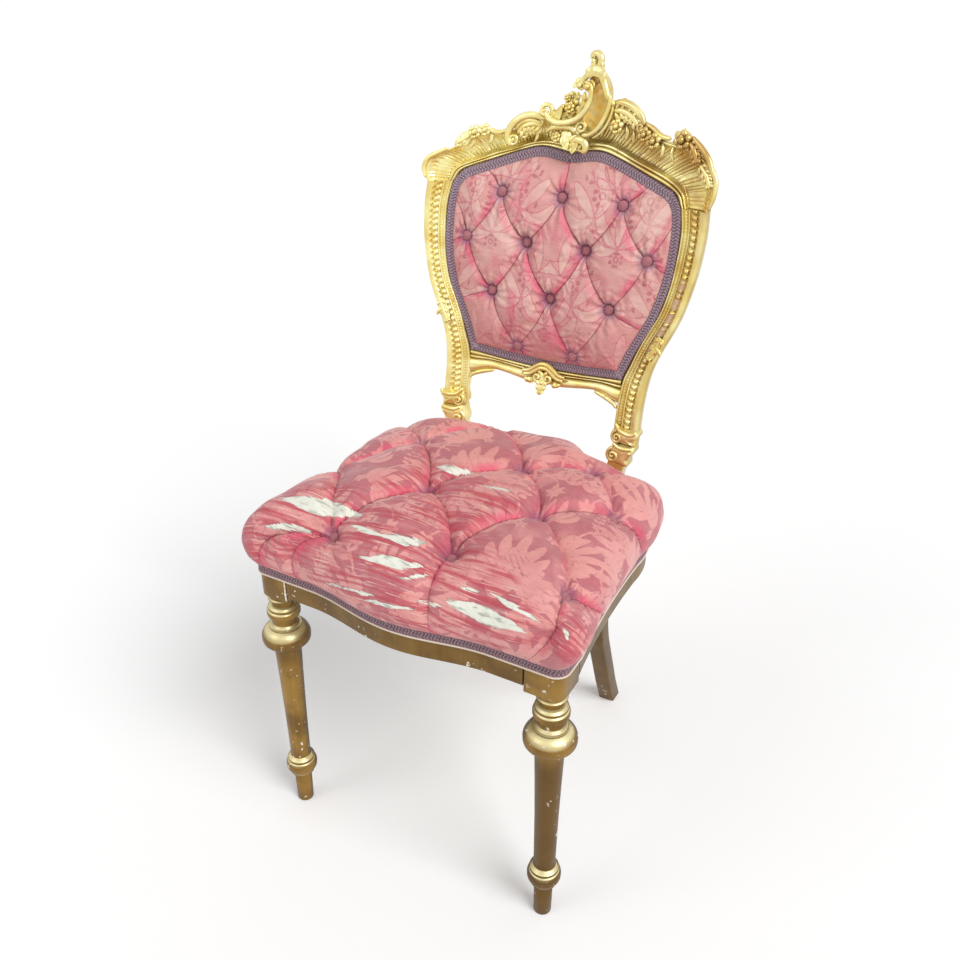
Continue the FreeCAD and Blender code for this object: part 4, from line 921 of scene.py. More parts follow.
# Cloth with buttons and folds
@dataclass
class Tufting:
    """Buttons, and the folds that join them, on cloth laid flat."""

    buttons: Array
    depths: Array
    folds: list[tuple[Array, float, float]]
    fold_depth: float
    fold_reach: float
    button_reach: float
    fade: float
    button_seat: float = 0.0066
    ripple: float = 0.0006
    pucker: float = 0.0013

    def near_line(self, spots: Array, line: Array) -> tuple[Array, Array, Array]:
        """Measure spots against a line.

        Args:
            spots: flat places.
            line: the line's points.

        Returns:
            Each spot's distance, its side (1 or -1) and how far along the line it lies.
        """
        best = np.full(len(spots), np.inf)
        side = np.ones(len(spots))
        along = np.zeros(len(spots))
        run = 0.0
        for start, end in zip(line, line[1:]):
            step = end - start
            length = np.linalg.norm(step)
            away = spots - start
            share = np.clip(away @ step / length ** 2, 0, 1)
            gap = np.linalg.norm(away - share[:, None] * step, axis=1)
            nearer = gap < best
            best = np.where(nearer, gap, best)
            turn = np.sign(step[0] * away[:, 1] - step[1] * away[:, 0])
            side = np.where(nearer, turn, side)
            along = np.where(nearer, run + share * length, along)
            run += length
        return best, side, along

    def measure(self, layout: Array) -> dict[str, Array]:
        """Work out the cloth's drop and its marks.

        Args:
            layout: rows by columns of flat places.

        Returns:
            The drop in metres, and the near, aside and tuft values for the material, in rows by columns.
        """
        spots = layout.reshape(-1, 2)
        drop = np.zeros(len(spots))
        nearest = np.full(len(spots), np.inf)
        aside = np.full(len(spots), 20.0)
        for line, first, last in self.folds:
            gap, side, along = self.near_line(spots, line)
            length = travelled(line)[-1]
            deep = self.fold_depth + (first - self.fold_depth) * np.exp(-along / self.fade)
            deep += (last - self.fold_depth) * np.exp(-(length - along) / self.fade)
            reach = np.where(side > 0, self.fold_reach * 0.72, self.fold_reach)
            inner = 1 - np.clip(gap / reach, 0, 1)
            power = np.where(side > 0, 0.42, 0.62)
            drop = np.maximum(drop, deep * (1 - (1 - inner ** 2) ** power))
            ripple = np.sin(along * 480 + 2.1 * np.sin(along * 170 + first * 900) + 900 * gap * 0.25)
            drop += self.ripple * ripple * np.exp(-((gap - 0.006) / 0.009) ** 2)
            closer = gap < nearest
            aside = np.where(closer, gap * side / MM, aside)
            nearest = np.minimum(nearest, gap)
        tuft = np.zeros(len(spots))
        for place, deep in zip(self.buttons, self.depths):
            away = spots - place
            gap = np.linalg.norm(away, axis=1)
            inner = 1 - np.clip((gap - self.button_seat) / (self.button_reach - self.button_seat), 0, 1)
            around = np.arctan2(away[:, 1], away[:, 0])
            ring = np.exp(-((gap - 0.016) / 0.013) ** 2)
            pucker = self.pucker * np.sin(11 * around + 1.3 * np.sin(3 * around)) * ring
            drop = np.maximum(drop, deep * (1 - (1 - inner ** 2) ** 0.62)) + pucker
            tuft = np.maximum(tuft, np.exp(-(gap / 0.014) ** 2))
        near = 1 - ease(0.009, 0.015, nearest)
        marks = {"drop": drop, "near": near, "aside": np.clip(aside, -20, 20), "tuft": tuft}
        return {name: values.reshape(layout.shape[:2]) for name, values in marks.items()}


def bowed(start: Array, end: Array, bow: float) -> Array:
    """Draw a gently bowed line between two flat places."""
    share = np.linspace(0, 1, 18)[:, None]
    chord = np.asarray(end) - np.asarray(start)
    sideways = np.array([chord[1], -chord[0]])
    return np.asarray(start) + share * chord + 4 * share * (1 - share) * bow * sideways


@dataclass(frozen=True)
class DamaskDrawing:
    """A traditional half-drop damask: fans of fingered leaves, a scaled pod, flowers and vines."""

    width: float = 0.25
    height: float = 0.31
    fans: tuple = (
        ((0.0, -0.03), 90, 150, 7, 0.055, 0.0066), ((0.035, -0.06), -8, 112, 6, 0.05, 0.0058),
        ((0.042, 0.03), 42, 112, 6, 0.046, 0.0056), ((0.018, -0.105), -38, 100, 5, 0.04, 0.0052),
        ((0.0, 0.078), 90, 84, 5, 0.038, 0.0046), ((0.09, 0.1), 118, 100, 5, 0.034, 0.0048),
        ((0.105, -0.005), 70, 90, 4, 0.026, 0.0042), ((0.0, -0.1), 270, 70, 3, 0.034, 0.005),
    )
    vines: tuple = (
        ((0.0, -0.15), (0.035, -0.06), 0.3, 0.0019), ((0.035, -0.06), (0.042, 0.03), 0.3, 0.0019),
        ((0.042, 0.03), (0.09, 0.1), -0.3, 0.0017), ((0.018, -0.105), (0.08, -0.15), 0.35, 0.0017),
        ((0.06, 0.01), (0.122, 0.045), 0.4, 0.0015), ((0.02, 0.11), (0.075, 0.145), -0.4, 0.0015),
    )
    flowers: tuple = (((0.104, -0.03), 0.0125, 6), ((0.07, -0.128), 0.0105, 6), ((0.058, 0.135), 0.0095, 5),
                      ((0.02, 0.035), 0.008, 5))
    sprigs: tuple = (((0.066, -0.075), 75, 0.05, 4, 0.012), ((0.1, 0.045), 100, 0.045, 4, 0.011))
    pod: tuple[float, float, float] = (0.032, 0.0195, 0.032)
    scale_pitch: float = 0.0072
    outlined: bool = False

    def leaflets(self) -> list[tuple[Array, Array]]:
        """Give the middle line and half widths of each sprig's leaflets."""
        made = []
        share = np.linspace(0, 1, 9)
        for base, heading, length, pairs, leaflet in self.sprigs:
            turn = math.radians(heading)
            way = np.array([math.cos(turn), math.sin(turn)])
            aside = np.array([-way[1], way[0]])
            stem = bowed(np.array(base), np.array(base) + way * length, 0.14)
            made.append((stem, np.full(len(stem), 0.0008)))
            for index in range(pairs):
                root = stem[round((index + 0.7) / (pairs + 0.7) * 17)]
                size = leaflet * (1 - 0.45 * index / pairs)
                for side in (1, -1):
                    step = size * (0.75 * side * aside + 0.62 * way)
                    blade = root + (0.2 + 0.85 * share[:, None]) * step
                    made.append((blade, 0.24 * size * np.sin(math.pi * share) ** 0.7))
            tip = stem[-1] + share[:, None] * way * leaflet * 0.8
            made.append((tip, 0.2 * leaflet * np.sin(math.pi * share) ** 0.8))
        return made

    def fingers(self) -> list[tuple[Array, Array]]:
        """Give each leaf finger's middle line and half widths."""
        made = []
        share = np.linspace(0, 1, 14)
        for base, heading, spread, count, length, width in self.fans:
            for index in range(count):
                off = (index / (count - 1) - 0.5) * spread
                turn = math.radians(heading + off)
                reach = length * (1 - 0.35 * abs(off) / 90)
                tip = np.array(base) + reach * np.array([math.cos(turn), math.sin(turn)])
                line = even_path(bowed(np.array(base), tip, -0.32 * off / spread * 2), 14)
                taper = np.sin(math.pi * np.clip(share * 0.94 + 0.06, 0, 1) ** 1.25) ** 0.7
                made.append((line, width * taper))
        return made

    def stroke(self, u: Array, v: Array, line: Array, half: Array) -> Array:
        """Give how deep spots lie inside a line of given half widths, in millimetres."""
        inside = np.full(u.shape, -9.0)
        for (x, y), wide in zip(line, half):
            inside = np.maximum(inside, (wide - np.hypot(u - x, v - y)) / MM)
        return inside

    def cell(self, u: Array, v: Array) -> tuple[Array, Array, Array]:
        """Draw one mirrored cell.

        Args:
            u: distance from the cell's upright middle line.
            v: height over the cell's middle.

        Returns:
            How deep each spot lies inside a figure, its fine lines and a pale leaf, in millimetres.
        """
        figure, veins, pale = (np.full(u.shape, -9.0) for _ in range(3))
        for line, half in self.fingers():
            inside = self.stroke(u, v, line, half)
            if self.outlined:
                pale = np.maximum(pale, inside)
                veins = np.maximum(veins, 1.0 - abs(inside))
            else:
                figure = np.maximum(figure, inside)
                veins = np.maximum(veins, 0.5 - abs(inside - 1.1))
        vines = [(even_path(bowed(start, end, bend), 40), [half] * 40)
                 for start, end, bend, half in self.vines]
        for line, half in (*self.leaflets(), *vines):
            figure = np.maximum(figure, self.stroke(u, v, line, half))
        for (x, y), radius, petals in self.flowers:
            gap, angle = np.hypot(u - x, v - y), np.arctan2(v - y, u - x)
            veins = np.maximum(veins, 0.8 - abs(gap - 0.32 * radius) / MM)
            if not self.outlined:
                figure = np.maximum(figure, (radius * (0.76 + 0.24 * np.cos(petals * angle)) - gap) / MM)
                continue
            figure = np.maximum(figure, 1.1 - abs(gap - 0.3 * radius) / MM)
            for index in range(petals):
                turn = 2 * math.pi * (index + 0.5) / petals
                out = 0.82 * radius
                away = np.hypot(u - x - out * math.cos(turn), v - y - out * math.sin(turn))
                figure = np.maximum(figure, (radius * 0.24 - away) / MM)
        level, wide, tall = self.pod
        podded = (1 - np.hypot(u / wide, (v + level) / tall)) * wide / MM
        scales = np.minimum(abs(np.sin((u + v) * math.pi / self.scale_pitch)),
                            abs(np.sin((u - v) * math.pi / self.scale_pitch)))
        figure = np.maximum(figure, podded)
        veins = np.maximum(veins, np.where(podded > 0.6, 0.7 - 3.0 * scales, -9))
        net = ease(0.0, 0.3, np.sin(u * 62 + 1.1) * np.sin(v * 41 + 0.4))
        if not self.outlined:
            veins = np.maximum(veins, np.where(net > 0.5, 0.5 - 3.4 * scales, -9))
        return figure, veins, pale

    def draw(self, flat: Array) -> dict[str, Array]:
        """Draw the cloth at flat places, as the figure, veins and pale values for the material."""
        layers = [np.full(flat.shape[:-1], -9.0) for _ in range(3)]
        for shift_u, shift_v in ((0, 0), (0.5, 0.5)):
            u = (flat[..., 0] / self.width - shift_u + 0.5) % 1.0 - 0.5
            v = (flat[..., 1] / self.height - shift_v + 0.5) % 1.0 - 0.5
            drawn = self.cell(abs(u) * self.width, v * self.height)
            layers = [np.maximum(layer, more) for layer, more in zip(layers, drawn)]
        figure, veins, pale = layers
        return {"figure": np.clip(figure, -6, 6), "veins": np.clip(veins, -3, 3),
                "pale": np.clip(pale + 5, 0, 10)}


BACK_DRAWING = DamaskDrawing(
    width=0.17, height=0.21, outlined=True, pod=(0.0, 0.0001, 0.0001),
    fans=(((0.0, 0.03), 90, 130, 5, 0.062, 0.0072), ((0.036, 0.06), 48, 70, 3, 0.05, 0.0072),
          ((0.07, -0.01), 96, 64, 3, 0.046, 0.0064)),
    vines=(((0.0, -0.1), (0.04, -0.05), 0.3, 0.001), ((0.04, -0.05), (0.05, 0.01), 0.3, 0.001)),
    flowers=(((0.055, -0.02), 0.0125, 8), ((0.0, 0.018), 0.0095, 7)),
    sprigs=(((0.006, -0.098), 40, 0.062, 6, 0.0115), ((0.05, -0.09), 112, 0.052, 5, 0.0105),
            ((0.076, -0.06), 96, 0.036, 4, 0.0095), ((0.028, -0.012), 66, 0.046, 5, 0.0095)))


def grid_normals(places: Array) -> Array:
    """Give the directions square to a closed grid whose first row is its pole."""
    down = np.gradient(places, axis=0)
    ring = places[:, :-1]
    around = np.roll(ring, -1, axis=1) - np.roll(ring, 1, axis=1)
    around = np.concatenate([around, around[:, :1]], axis=1)
    normal = np.cross(down, around)
    normal[0] = normal[1].mean(axis=0)
    return normal / np.maximum(np.linalg.norm(normal, axis=2), 1e-12)[..., None]


@dataclass(frozen=True)
class PixelLens:
    """A pointed oval of the photograph's frame."""

    middle: tuple[float, float]
    half_length: float
    half_width: float
    tilt: float

    def inside(self, pixels: Array) -> Array:
        """Give how deep pixels lie inside, about in pixels."""
        turn = math.radians(self.tilt)
        away = pixels - np.array(self.middle)
        along = away[..., 0] * math.cos(turn) + away[..., 1] * math.sin(turn)
        aside = away[..., 1] * math.cos(turn) - away[..., 0] * math.sin(turn)
        share = np.clip(abs(along) / self.half_length, 0, 1.6)
        return self.half_width * (1 - share ** 1.6) - abs(aside + 0.5 * np.sin(along * 0.16 + self.tilt))


@dataclass
class SeatCushion:
    """The deep-buttoned seat top, its eleven buttons, and its wear."""

    skirt_level: float = 0.3919
    crown: float = 0.491
    skirt_thickness: float = 0.005
    mean_radius: float = 0.2
    rings: int = 176
    spokes: int = 440
    under_level: float = 0.4136
    under_grow: float = 0.0006
    lumps: float = 0.0016
    border_bow: float = 0.06
    border_depth: float = 0.002
    post_notch: tuple[float, float, float] = (0.0945, 0.1437, 0.1138)
    post_draw: float = 0.024
    post_draw_left: float = 0.006
    post_reach: float = 0.026
    section_shares: tuple = ((0.0, 1.0), (0.25, 0.998), (0.5, 0.972), (0.72, 0.9), (0.9, 0.76),
                             (1.015, 0.55), (1.052, 0.3), (1.035, 0.12), (1.0, 0.0))
    buttons: tuple = ((-0.0974, -0.2051), (0.0513, -0.1803), (0.196, -0.1715), (-0.178, -0.078),
                      (-0.0339, -0.0876), (0.1066, -0.0745), (-0.1094, 0.0153), (0.041, 0.0085),
                      (0.179, -0.0078), (-0.0455, 0.115), (0.1151, 0.0521))
    button_depths: tuple = (0.024, 0.028, 0.02, 0.018, 0.027, 0.026, 0.02, 0.024, 0.018, 0.018, 0.02)
    joined: tuple = ((0, 3, 0.05), (0, 4, -0.07), (1, 4, 0.08), (1, 5, -0.08), (2, 5, 0.07), (3, 6, -0.06),
                     (4, 6, 0.06), (4, 7, -0.08), (5, 7, 0.09), (5, 8, -0.06), (6, 9, -0.07), (7, 9, 0.07),
                     (7, 10, -0.07), (8, 10, 0.07))
    to_border: tuple = ((0, 0.905), (0, 0.868), (1, 0.0386), (2, 0.118), (2, 0.215), (3, 0.79), (3, 0.74),
                        (6, 0.66), (8, 0.31), (9, 0.56), (10, 0.40))
    tears: tuple = (
        ((322, 507), 43, 9, 12), ((290, 528), 24, 4, 8), ((366, 530), 17, 3.4, 16),
        ((404, 540), 27, 4.6, 11), ((390, 562), 36, 5.6, 9), ((484, 615), 45, 8.5, 22),
        ((455, 470), 20, 4.4, 10), ((386, 605), 30, 2.4, 10), ((512, 606), 27, 3.2, 30),
        ((566, 634), 9, 2.4, 60), ((415, 577), 18, 1.8, -6), ((495, 488), 15, 1.6, 12),
        ((432, 604), 20, 1.8, 12), ((350, 590), 22, 1.7, 16), ((470, 590), 16, 1.5, 14),
    )
    worn: tuple = (((330, 545), 130, 70, 20), ((440, 590), 120, 80, 25), ((440, 500), 110, 44, 0),
                   ((580, 640), 40, 40, 0))

    def base(self) -> tuple[Array, Array, Array, Array]:
        """Shape the cushion before its buttons are drawn in.

        Returns:
            The places, their outward directions, the flat cloth layout, and the section as shares of
            radius and of flat cloth.
        """
        loop = SEAT.outline(self.spokes, self.skirt_thickness)
        tall = self.crown - self.skirt_level
        section = smooth_path([(share * self.mean_radius, self.skirt_level + level * tall)
                               for share, level in self.section_shares], self.rings)
        scale = section[:, 0] / self.mean_radius
        cloth = travelled(section) / self.mean_radius
        places = raised(drawn_in(loop, SEAT.middle, scale), section[:, 1:])
        layout = drawn_in(loop, SEAT.middle, cloth)
        return places, grid_normals(places), layout, np.stack([scale, cloth], axis=1)

    def tufting(self, section: Array) -> Tufting:
        """Lay out the buttons and folds on the flat cloth."""
        spots = np.array(self.buttons)
        folds = [(bowed(spots[a], spots[b], bow), self.button_depths[a], self.button_depths[b])
                 for a, b, bow in self.joined]
        loop = SEAT.outline(self.spokes, self.skirt_thickness)
        edge = drawn_in(loop, SEAT.middle, section[-1:, 1])[0]
        for index, share in self.to_border:
            line = bowed(spots[index], edge[round(share * self.spokes)], self.border_bow)
            folds.append((line, self.button_depths[index], self.border_depth))
        return Tufting(spots, np.array(self.button_depths), folds, fold_depth=0.0145, fold_reach=0.052,
                       button_reach=0.05, fade=0.02)

    def post_dip(self, places: Array) -> Array:
        """Give how far the cloth is drawn down round the two posts."""
        inner, outer, front = self.post_notch
        aside = np.clip(abs(abs(places[..., 0]) - (inner + outer) / 2) - (outer - inner) / 2, 0, None)
        gap = np.hypot(aside, np.clip(front - places[..., 1], 0, None))
        share = np.clip((places[..., 2] - self.skirt_level) / (self.crown - self.skirt_level), 0, 1)
        behind = ease(-0.012, 0.012, places[..., 1] - front)
        draw = np.where(places[..., 0] > 0, self.post_draw, self.post_draw_left) * (1 + 1.3 * behind)
        return draw * np.exp(-(gap / self.post_reach) ** 2) * share

    def notch(self, places: Array) -> Array:
        """Draw the cloth back from the two posts."""
        inner, outer, front = self.post_notch
        across = abs(places[..., 0])
        held = (across > inner) & (across < outer) & (places[..., 1] > front)
        moved = places.copy()
        moved[..., 1] = np.where(held, front, places[..., 1])
        return moved

    def wear(self, places: Array, normals: Array) -> dict[str, Array]:
        """Give the tears and the worn cloth, where the camera sees them."""
        pixels = CAMERA.pixels(places)
        facing = np.einsum("ijk,ijk->ij", normals, np.array(CAMERA.place) - places) > 0
        tear = np.max([PixelLens(*lens).inside(pixels) for lens in self.tears], axis=0)
        worn = np.max([ease(0, 14, PixelLens(*lens).inside(pixels)) for lens in self.worn], axis=0)
        return {"tear": np.where(facing, np.clip(tear + 5, 0, 10), 0), "wear": np.where(facing, worn, 0.0)}

    def underside(self) -> Array:
        """Give the rows that close the cushion, from its skirt to the middle of its hollow."""
        loop = SEAT.outline(self.spokes, self.under_grow)
        hollow = raised(drawn_in(loop, SEAT.middle, (1.0, 0.66, 0.33, 0.0)), self.under_level)
        return self.notch(np.array([raised(loop, self.skirt_level), *hollow]))

    def build(self, cloth: Material, button_cloth: Material) -> None:
        """Model and dress the cushion and its buttons."""
        places, normals, layout, section = self.base()
        tufting = self.tufting(section)
        marks = tufting.measure(layout)
        u, v = layout[..., 0], layout[..., 1]
        lump = self.lumps * np.sin(u * 61 + 2 * np.sin(v * 37)) * np.sin(v * 53 + 1)
        fall = ease(0.0, 0.03, places[..., 2] - self.skirt_level)
        drop = marks.pop("drop") * (0.25 + 0.75 * fall) - lump * fall
        shaped = places - normals * drop[..., None]
        shaped[..., 2] -= self.post_dip(shaped)
        shaped = self.notch(shaped)
        marks.update(DamaskDrawing().draw(layout))
        marks.update(self.wear(shaped, normals))
        under = self.underside()
        maps = {name: longer(values, len(under)) for name, values in marks.items()}
        places = np.concatenate([shaped, under])
        cushion = draped_grid("tufted_seat_cushion", places, maps, longer(layout, len(under)))
        smooth(cushion, 70)
        finish(cushion, Slot.DAMASK, cloth, "seat_cushion", "seat_first_stuffing")
        seats = [nearest(button, layout) for button in tufting.buttons]
        spots = [(Vector(shaped[at]), Vector(normals[at])) for at in seats]
        finish(covered_buttons("seat_covered_buttons", spots), Slot.DAMASK, button_cloth, "seat_buttons")


def covered_buttons(name: str, spots: list[tuple[Vector, Vector]], radius: float = 0.00675,
                    rise: float = 0.0036) -> Piece:
    """Model one cloth-covered button with a drawn-in rim, and copy it to each place."""
    turn = np.linspace(0, math.pi / 2, 12)
    dome = np.stack([radius * np.cos(0.96 * turn), rise * np.sin(turn)], axis=1)
    profile = np.vstack([[radius * 0.7, -rise], [radius * 0.96, -rise * 0.5], dome])
    master = turned(name, profile, 28)
    smooth(master, 60)
    turns = []
    for place, normal in spots:
        turn = normal.to_track_quat("Z", "Y").to_matrix().to_4x4()
        turns.append(Matrix.Translation(place + normal * rise * 0.4) @ turn)
    return copies(master, turns, name)


@dataclass
class BackPad:
    """The deep-buttoned back pad and its twelve buttons."""

    inset: float = 0.0118
    crown: float = 0.0205
    edge: float = -0.0008
    border_inset: float = 0.0006
    under_braid: float = -0.0044
    rear: float = -0.0054
    rings: int = 150
    spokes: int = 540
    eased: int = 6
    row_levels: tuple = (0.575, 0.641, 0.7045, 0.761)
    columns: tuple = ((-0.039, 0.039), (-0.081, 0.0, 0.081), (-0.122, -0.0405, 0.0405, 0.122),
                      (-0.081, 0.0, 0.081))
    button_proud: float = 0.0045
    button_radius: float = 0.0061
    row_gap: float = 0.08
    column_gap: float = 0.06
    fold_bow: float = 0.06
    border_bow: float = 0.03
    border_depth: float = 0.001
    drawing_shift: tuple[float, float] = (0.0, 0.05)
    to_border: tuple = ((0, (-0.062, 0.553)), (1, (0.062, 0.553)), (0, (-0.02, 0.55)), (1, (0.02, 0.55)),
                        (2, (-0.13, 0.622)), (4, (0.13, 0.622)), (5, (-0.155, 0.69)), (8, (0.155, 0.69)),
                        (9, (-0.115, 0.792)), (10, (0.0, 0.811)), (11, (0.115, 0.792)), (5, (-0.15, 0.757)),
                        (8, (0.15, 0.757)))

    def folds(self, spots: Array, depths: Array) -> list[tuple[Array, float, float]]:
        """Join each button to its neighbours in the next row, and the outer ones to the border."""
        made = []
        for first, deep in zip(spots, depths):
            for last, next_deep in zip(spots, depths):
                across, up = last - first
                if 0 < up < self.row_gap and abs(across) < self.column_gap:
                    bow = math.copysign(self.fold_bow, across)
                    made.append((bowed(first, last, bow), deep, next_deep))
        for index, end in self.to_border:
            made.append((bowed(spots[index], end, self.border_bow), depths[index], self.border_depth))
        return made

    def build(self, cloth: Material, button_cloth: Material) -> None:
        """Model and dress the pad and its buttons."""
        sharp = PANEL.outline(self.spokes, -self.inset)[:-1]
        loop = np.mean([np.roll(sharp, step, axis=0) for step in range(-self.eased, self.eased + 1)], axis=0)
        loop = np.vstack([loop, loop[:1]])
        share = np.linspace(0, 1, self.rings) ** 0.92
        layout = drawn_in(loop, PANEL.middle, share)
        swell = self.edge + (self.crown - self.edge) * (1 - share ** 3.2) ** 0.8
        proud = np.repeat(swell[:, None], len(loop), axis=1)
        spots = np.array([(x, z) for z, row in zip(self.row_levels, self.columns) for x in row])
        seats = [nearest(spot, layout) for spot in spots]
        depths = np.array([proud[at] - self.button_proud for at in seats])
        marks = Tufting(spots, depths, self.folds(spots, depths), fold_depth=0.0052, fold_reach=0.034,
                        button_reach=0.03, fade=0.014).measure(layout)
        held = 1 - ease(0.93, 1.0, share)[:, None]
        proud = proud - marks.pop("drop") * held
        marks.update(BACK_DRAWING.draw(layout + self.drawing_shift))
        border = PANEL.outline(self.spokes, -self.border_inset)
        rear = [raised(loop, self.under_braid), raised(border, self.under_braid),
                *raised(drawn_in(border, PANEL.middle, (1.0, 0.6, 0.0)), self.rear)]
        places = SURFACE.lift(np.concatenate([raised(layout, proud), np.array(rear)]))
        maps = {name: longer(values, len(rear)) for name, values in marks.items()}
        pad = draped_grid("tufted_back_pad", places, maps, longer(layout, len(rear)))
        smooth(pad, 70)
        finish(pad, Slot.DAMASK, cloth, "back_pad")
        normal = Vector((0, -math.cos(SURFACE.lean), math.sin(SURFACE.lean)))
        heights = np.array([proud[at] for at in seats])
        placed = [(Vector(place), normal) for place in SURFACE.lift(raised(spots, heights))]
        buttons = covered_buttons("back_covered_buttons", placed, self.button_radius)
        finish(buttons, Slot.DAMASK, button_cloth, "back_buttons")


@dataclass
class Braid:
    """Herringbone gimp round the seat and the back panel, with a cream cord under the seat's."""

    width: float = 0.0126
    thickness: float = 0.0024
    stitch: float = 0.0038
    seat_base: float = 0.379
    back_rear: float = 0.0042
    post_sides: tuple[float, float] = (0.0955, 0.1205)
    post_front: float = 0.1
    seat_steps: int = 2600
    back_steps: int = 2100
    cord_radius: float = 0.00125
    cord_out: float = 0.0017
    cord_drop: float = 0.0004
    cord_twist: float = 0.6
    panel_gap: float = 0.0006

    def strip(self, loop: Array) -> tuple[Array, Array, Array, Array]:
        """Give the braid's places across from -1 to 1, and its heights, plait and flat places on a loop."""
        across = np.array([-1, -1, -0.9, -0.72, -0.54, -0.36, -0.18, 0, 0.18, 0.36, 0.54, 0.72, 0.9,
                           1, 1, -1])
        face = np.array([0, 0.35, 0.8, 1, 1, 1, 0.95, 0.7, 0.95, 1, 1, 1, 0.8, 0.35, 0, 0])
        run = np.linspace(0, travelled(loop)[-1], len(loop))[:, None]
        zigzag = abs((across * 1.5 + 10.5) % 2 - 1)
        plait = abs(np.sin(math.pi * (run / self.stitch + 0.8 * zigzag[None])))
        height = self.thickness * face[None] * (0.6 + 0.4 * plait)
        flat = np.stack(np.broadcast_arrays(run, across[None] * self.width / 2), axis=2)
        return across, height, plait * face[None], flat

    def round_seat(self, material: Material, cord_material: Material) -> None:
        """Lay the braid and its cord along the front and sides, and across the rear."""
        loop = SEAT.outline(self.seat_steps)
        sideways = outward(loop)
        across, height, plait, laid = self.strip(loop)
        level = self.seat_base + self.width * (across + 1) / 2
        plan = loop[:, None] + sideways[:, None] * height[..., None]
        places = raised(plan, level)
        aside = abs(loop[:, 0])
        post = (aside > self.post_sides[0]) & (aside < self.post_sides[1]) & (loop[:, 1] > self.post_front)
        runs = np.split(np.arange(len(loop)), np.flatnonzero(np.diff(post.astype(int))) + 1)
        runs = [run for run in runs if not post[run[0]]]
        around = [np.concatenate([runs[-1], runs[0][1:]]), *runs[1:-1]]
        strips = [draped_grid("seat_braid", places[run], {"plait": plait[run]}, laid[run]) for run in around]
        braid = join(strips, "seat_braid")
        smooth(braid, 80)
        finish(braid, Slot.BRAID, material, "seat_gimp")
        cords = []
        for run in around:
            turn = np.linspace(0, 2 * math.pi, 9)
            twist = self.cord_twist * np.arange(1, len(run) + 1)[:, None]
            radius = self.cord_radius * (1 + 0.22 * np.cos(2 * (turn[None] - twist)))
            out = self.cord_out + radius * np.cos(turn)
            plan = loop[run][:, None] + sideways[run][:, None] * out[..., None]
            up = self.seat_base - self.cord_drop + radius * np.sin(turn)
            cords.append(draped_grid("seat_cord", raised(plan, up)))
        cord = join(cords, "seat_cream_cord")
        smooth(cord, 80)
        finish(cord, Slot.BRAID, cord_material)

    def round_back(self, material: Material) -> None:
        """Lay the braid round the back panel."""
        loop = PANEL.outline(self.back_steps, -self.width / 2 - self.panel_gap)
        sideways = outward(loop)
        across, height, plait, laid = self.strip(loop)
        plan = loop[:, None] + sideways[:, None] * (across * self.width / 2)[None, :, None]
        flat = raised(plan, height - self.back_rear)
        braid = draped_grid("back_braid", SURFACE.lift(flat), {"plait": plait}, laid)
        smooth(braid, 80)
        finish(braid, Slot.BRAID, material, "back_gimp")


# Carving, drawn in the back's elevation in millimetres as across, up and proud
def carved_tube(line: Array, radius: Array, flat: float = 1.0, sides: int = 12) -> Array:
    """Give a round rod along a line, its thickness out of the elevation scaled by flat."""
    turn = np.linspace(0, 2 * math.pi, sides + 1)
    return swept(line, radius[:, None] * np.cos(turn)[None], flat * radius[:, None] * np.sin(turn)[None])


def moulded(name: str, inner: Array, outer: Array, section: Array, proud: Array, lip: Array,
            thickness: float, step: float = 0.0095) -> Piece:
    """Sweep a moulding round the panel, with a rebate behind it, in metres.

    Args:
        name: the piece's name.
        inner: the moulding's edge along the panel.
        outer: its other edge, point for point.
        section: places from the inner edge, 0, to the outer, 1.
        proud: how far the moulding stands out at each of these places.
        lip: the rebate's edge, point for point.
        thickness: the depth of the moulding's rear.
        step: the depth of the rebate's floor.

    Returns:
        The moulded strip.
    """
    plan = inner[:, None] + (outer - inner)[:, None] * section[None, :, None]
    rear = [raised(edge, depth)[:, None]
            for edge, depth in ((lip, -thickness), (lip, -step), (inner, -step))]
    return draped_grid(name, SURFACE.lift(np.concatenate([raised(plan, proud), *rear], axis=1)))


def carve(name: str, flat: Array) -> Piece:
    """Lay a carving onto the back's surface."""
    return draped_grid(name, SURFACE.lift(MM * flat))


def scroll(points: Array, thick: float, thin: float, proud: float, count: int = 70) -> Piece:
    """Carve a smooth scroll through points, thickest in its middle, with round ends.

    Args:
        points: places across and up.
        thick: the rod's greatest radius.
        thin: its radius at the ends.
        proud: how far its middle line stands out.
        count: how many sections it has.

    Returns:
        The carved rod.
    """
    share = np.linspace(0, 1, count)
    body = thin + (thick - thin) * np.sin(math.pi * share) ** 0.7
    cap = np.sqrt(np.clip(1 - (1 - np.clip(np.minimum(share, 1 - share) * 16, 0, 1)) ** 2, 0.02, 1))
    return carve("scroll", carved_tube(raised(smooth_path(points, count), proud), body * cap))


def volute(centre: Array, radius: float, start: float, turns: float, thick: float, proud: float,
           hand: int) -> Piece:
    """Carve a spiral that winds in to its eye.

    Args:
        centre: the eye's place, across and up.
        radius: the spiral's outer radius.
        start: the angle, in degrees, at which it begins.
        turns: how many turns it makes.
        thick: the rod's radius where it begins.
        proud: how far the eye stands out.
        hand: 1 winds counter-clockwise, -1 clockwise.

    Returns:
        The carved spiral.
    """
    share = np.linspace(0, 1, int(46 * turns) + 10)
    angle = math.radians(start) + hand * 2 * math.pi * turns * share
    reach = radius * (1 - share) ** 0.85
    path = np.stack([centre[0] + reach * np.cos(angle), centre[1] + reach * np.sin(angle)], axis=1)
    body = thick * (1 - 0.45 * share)
    body[-1] *= 0.3
    body[0] *= 0.4
    return carve("volute", carved_tube(raised(path, proud * (0.45 + 0.55 * share)), body, 1.0, 10))


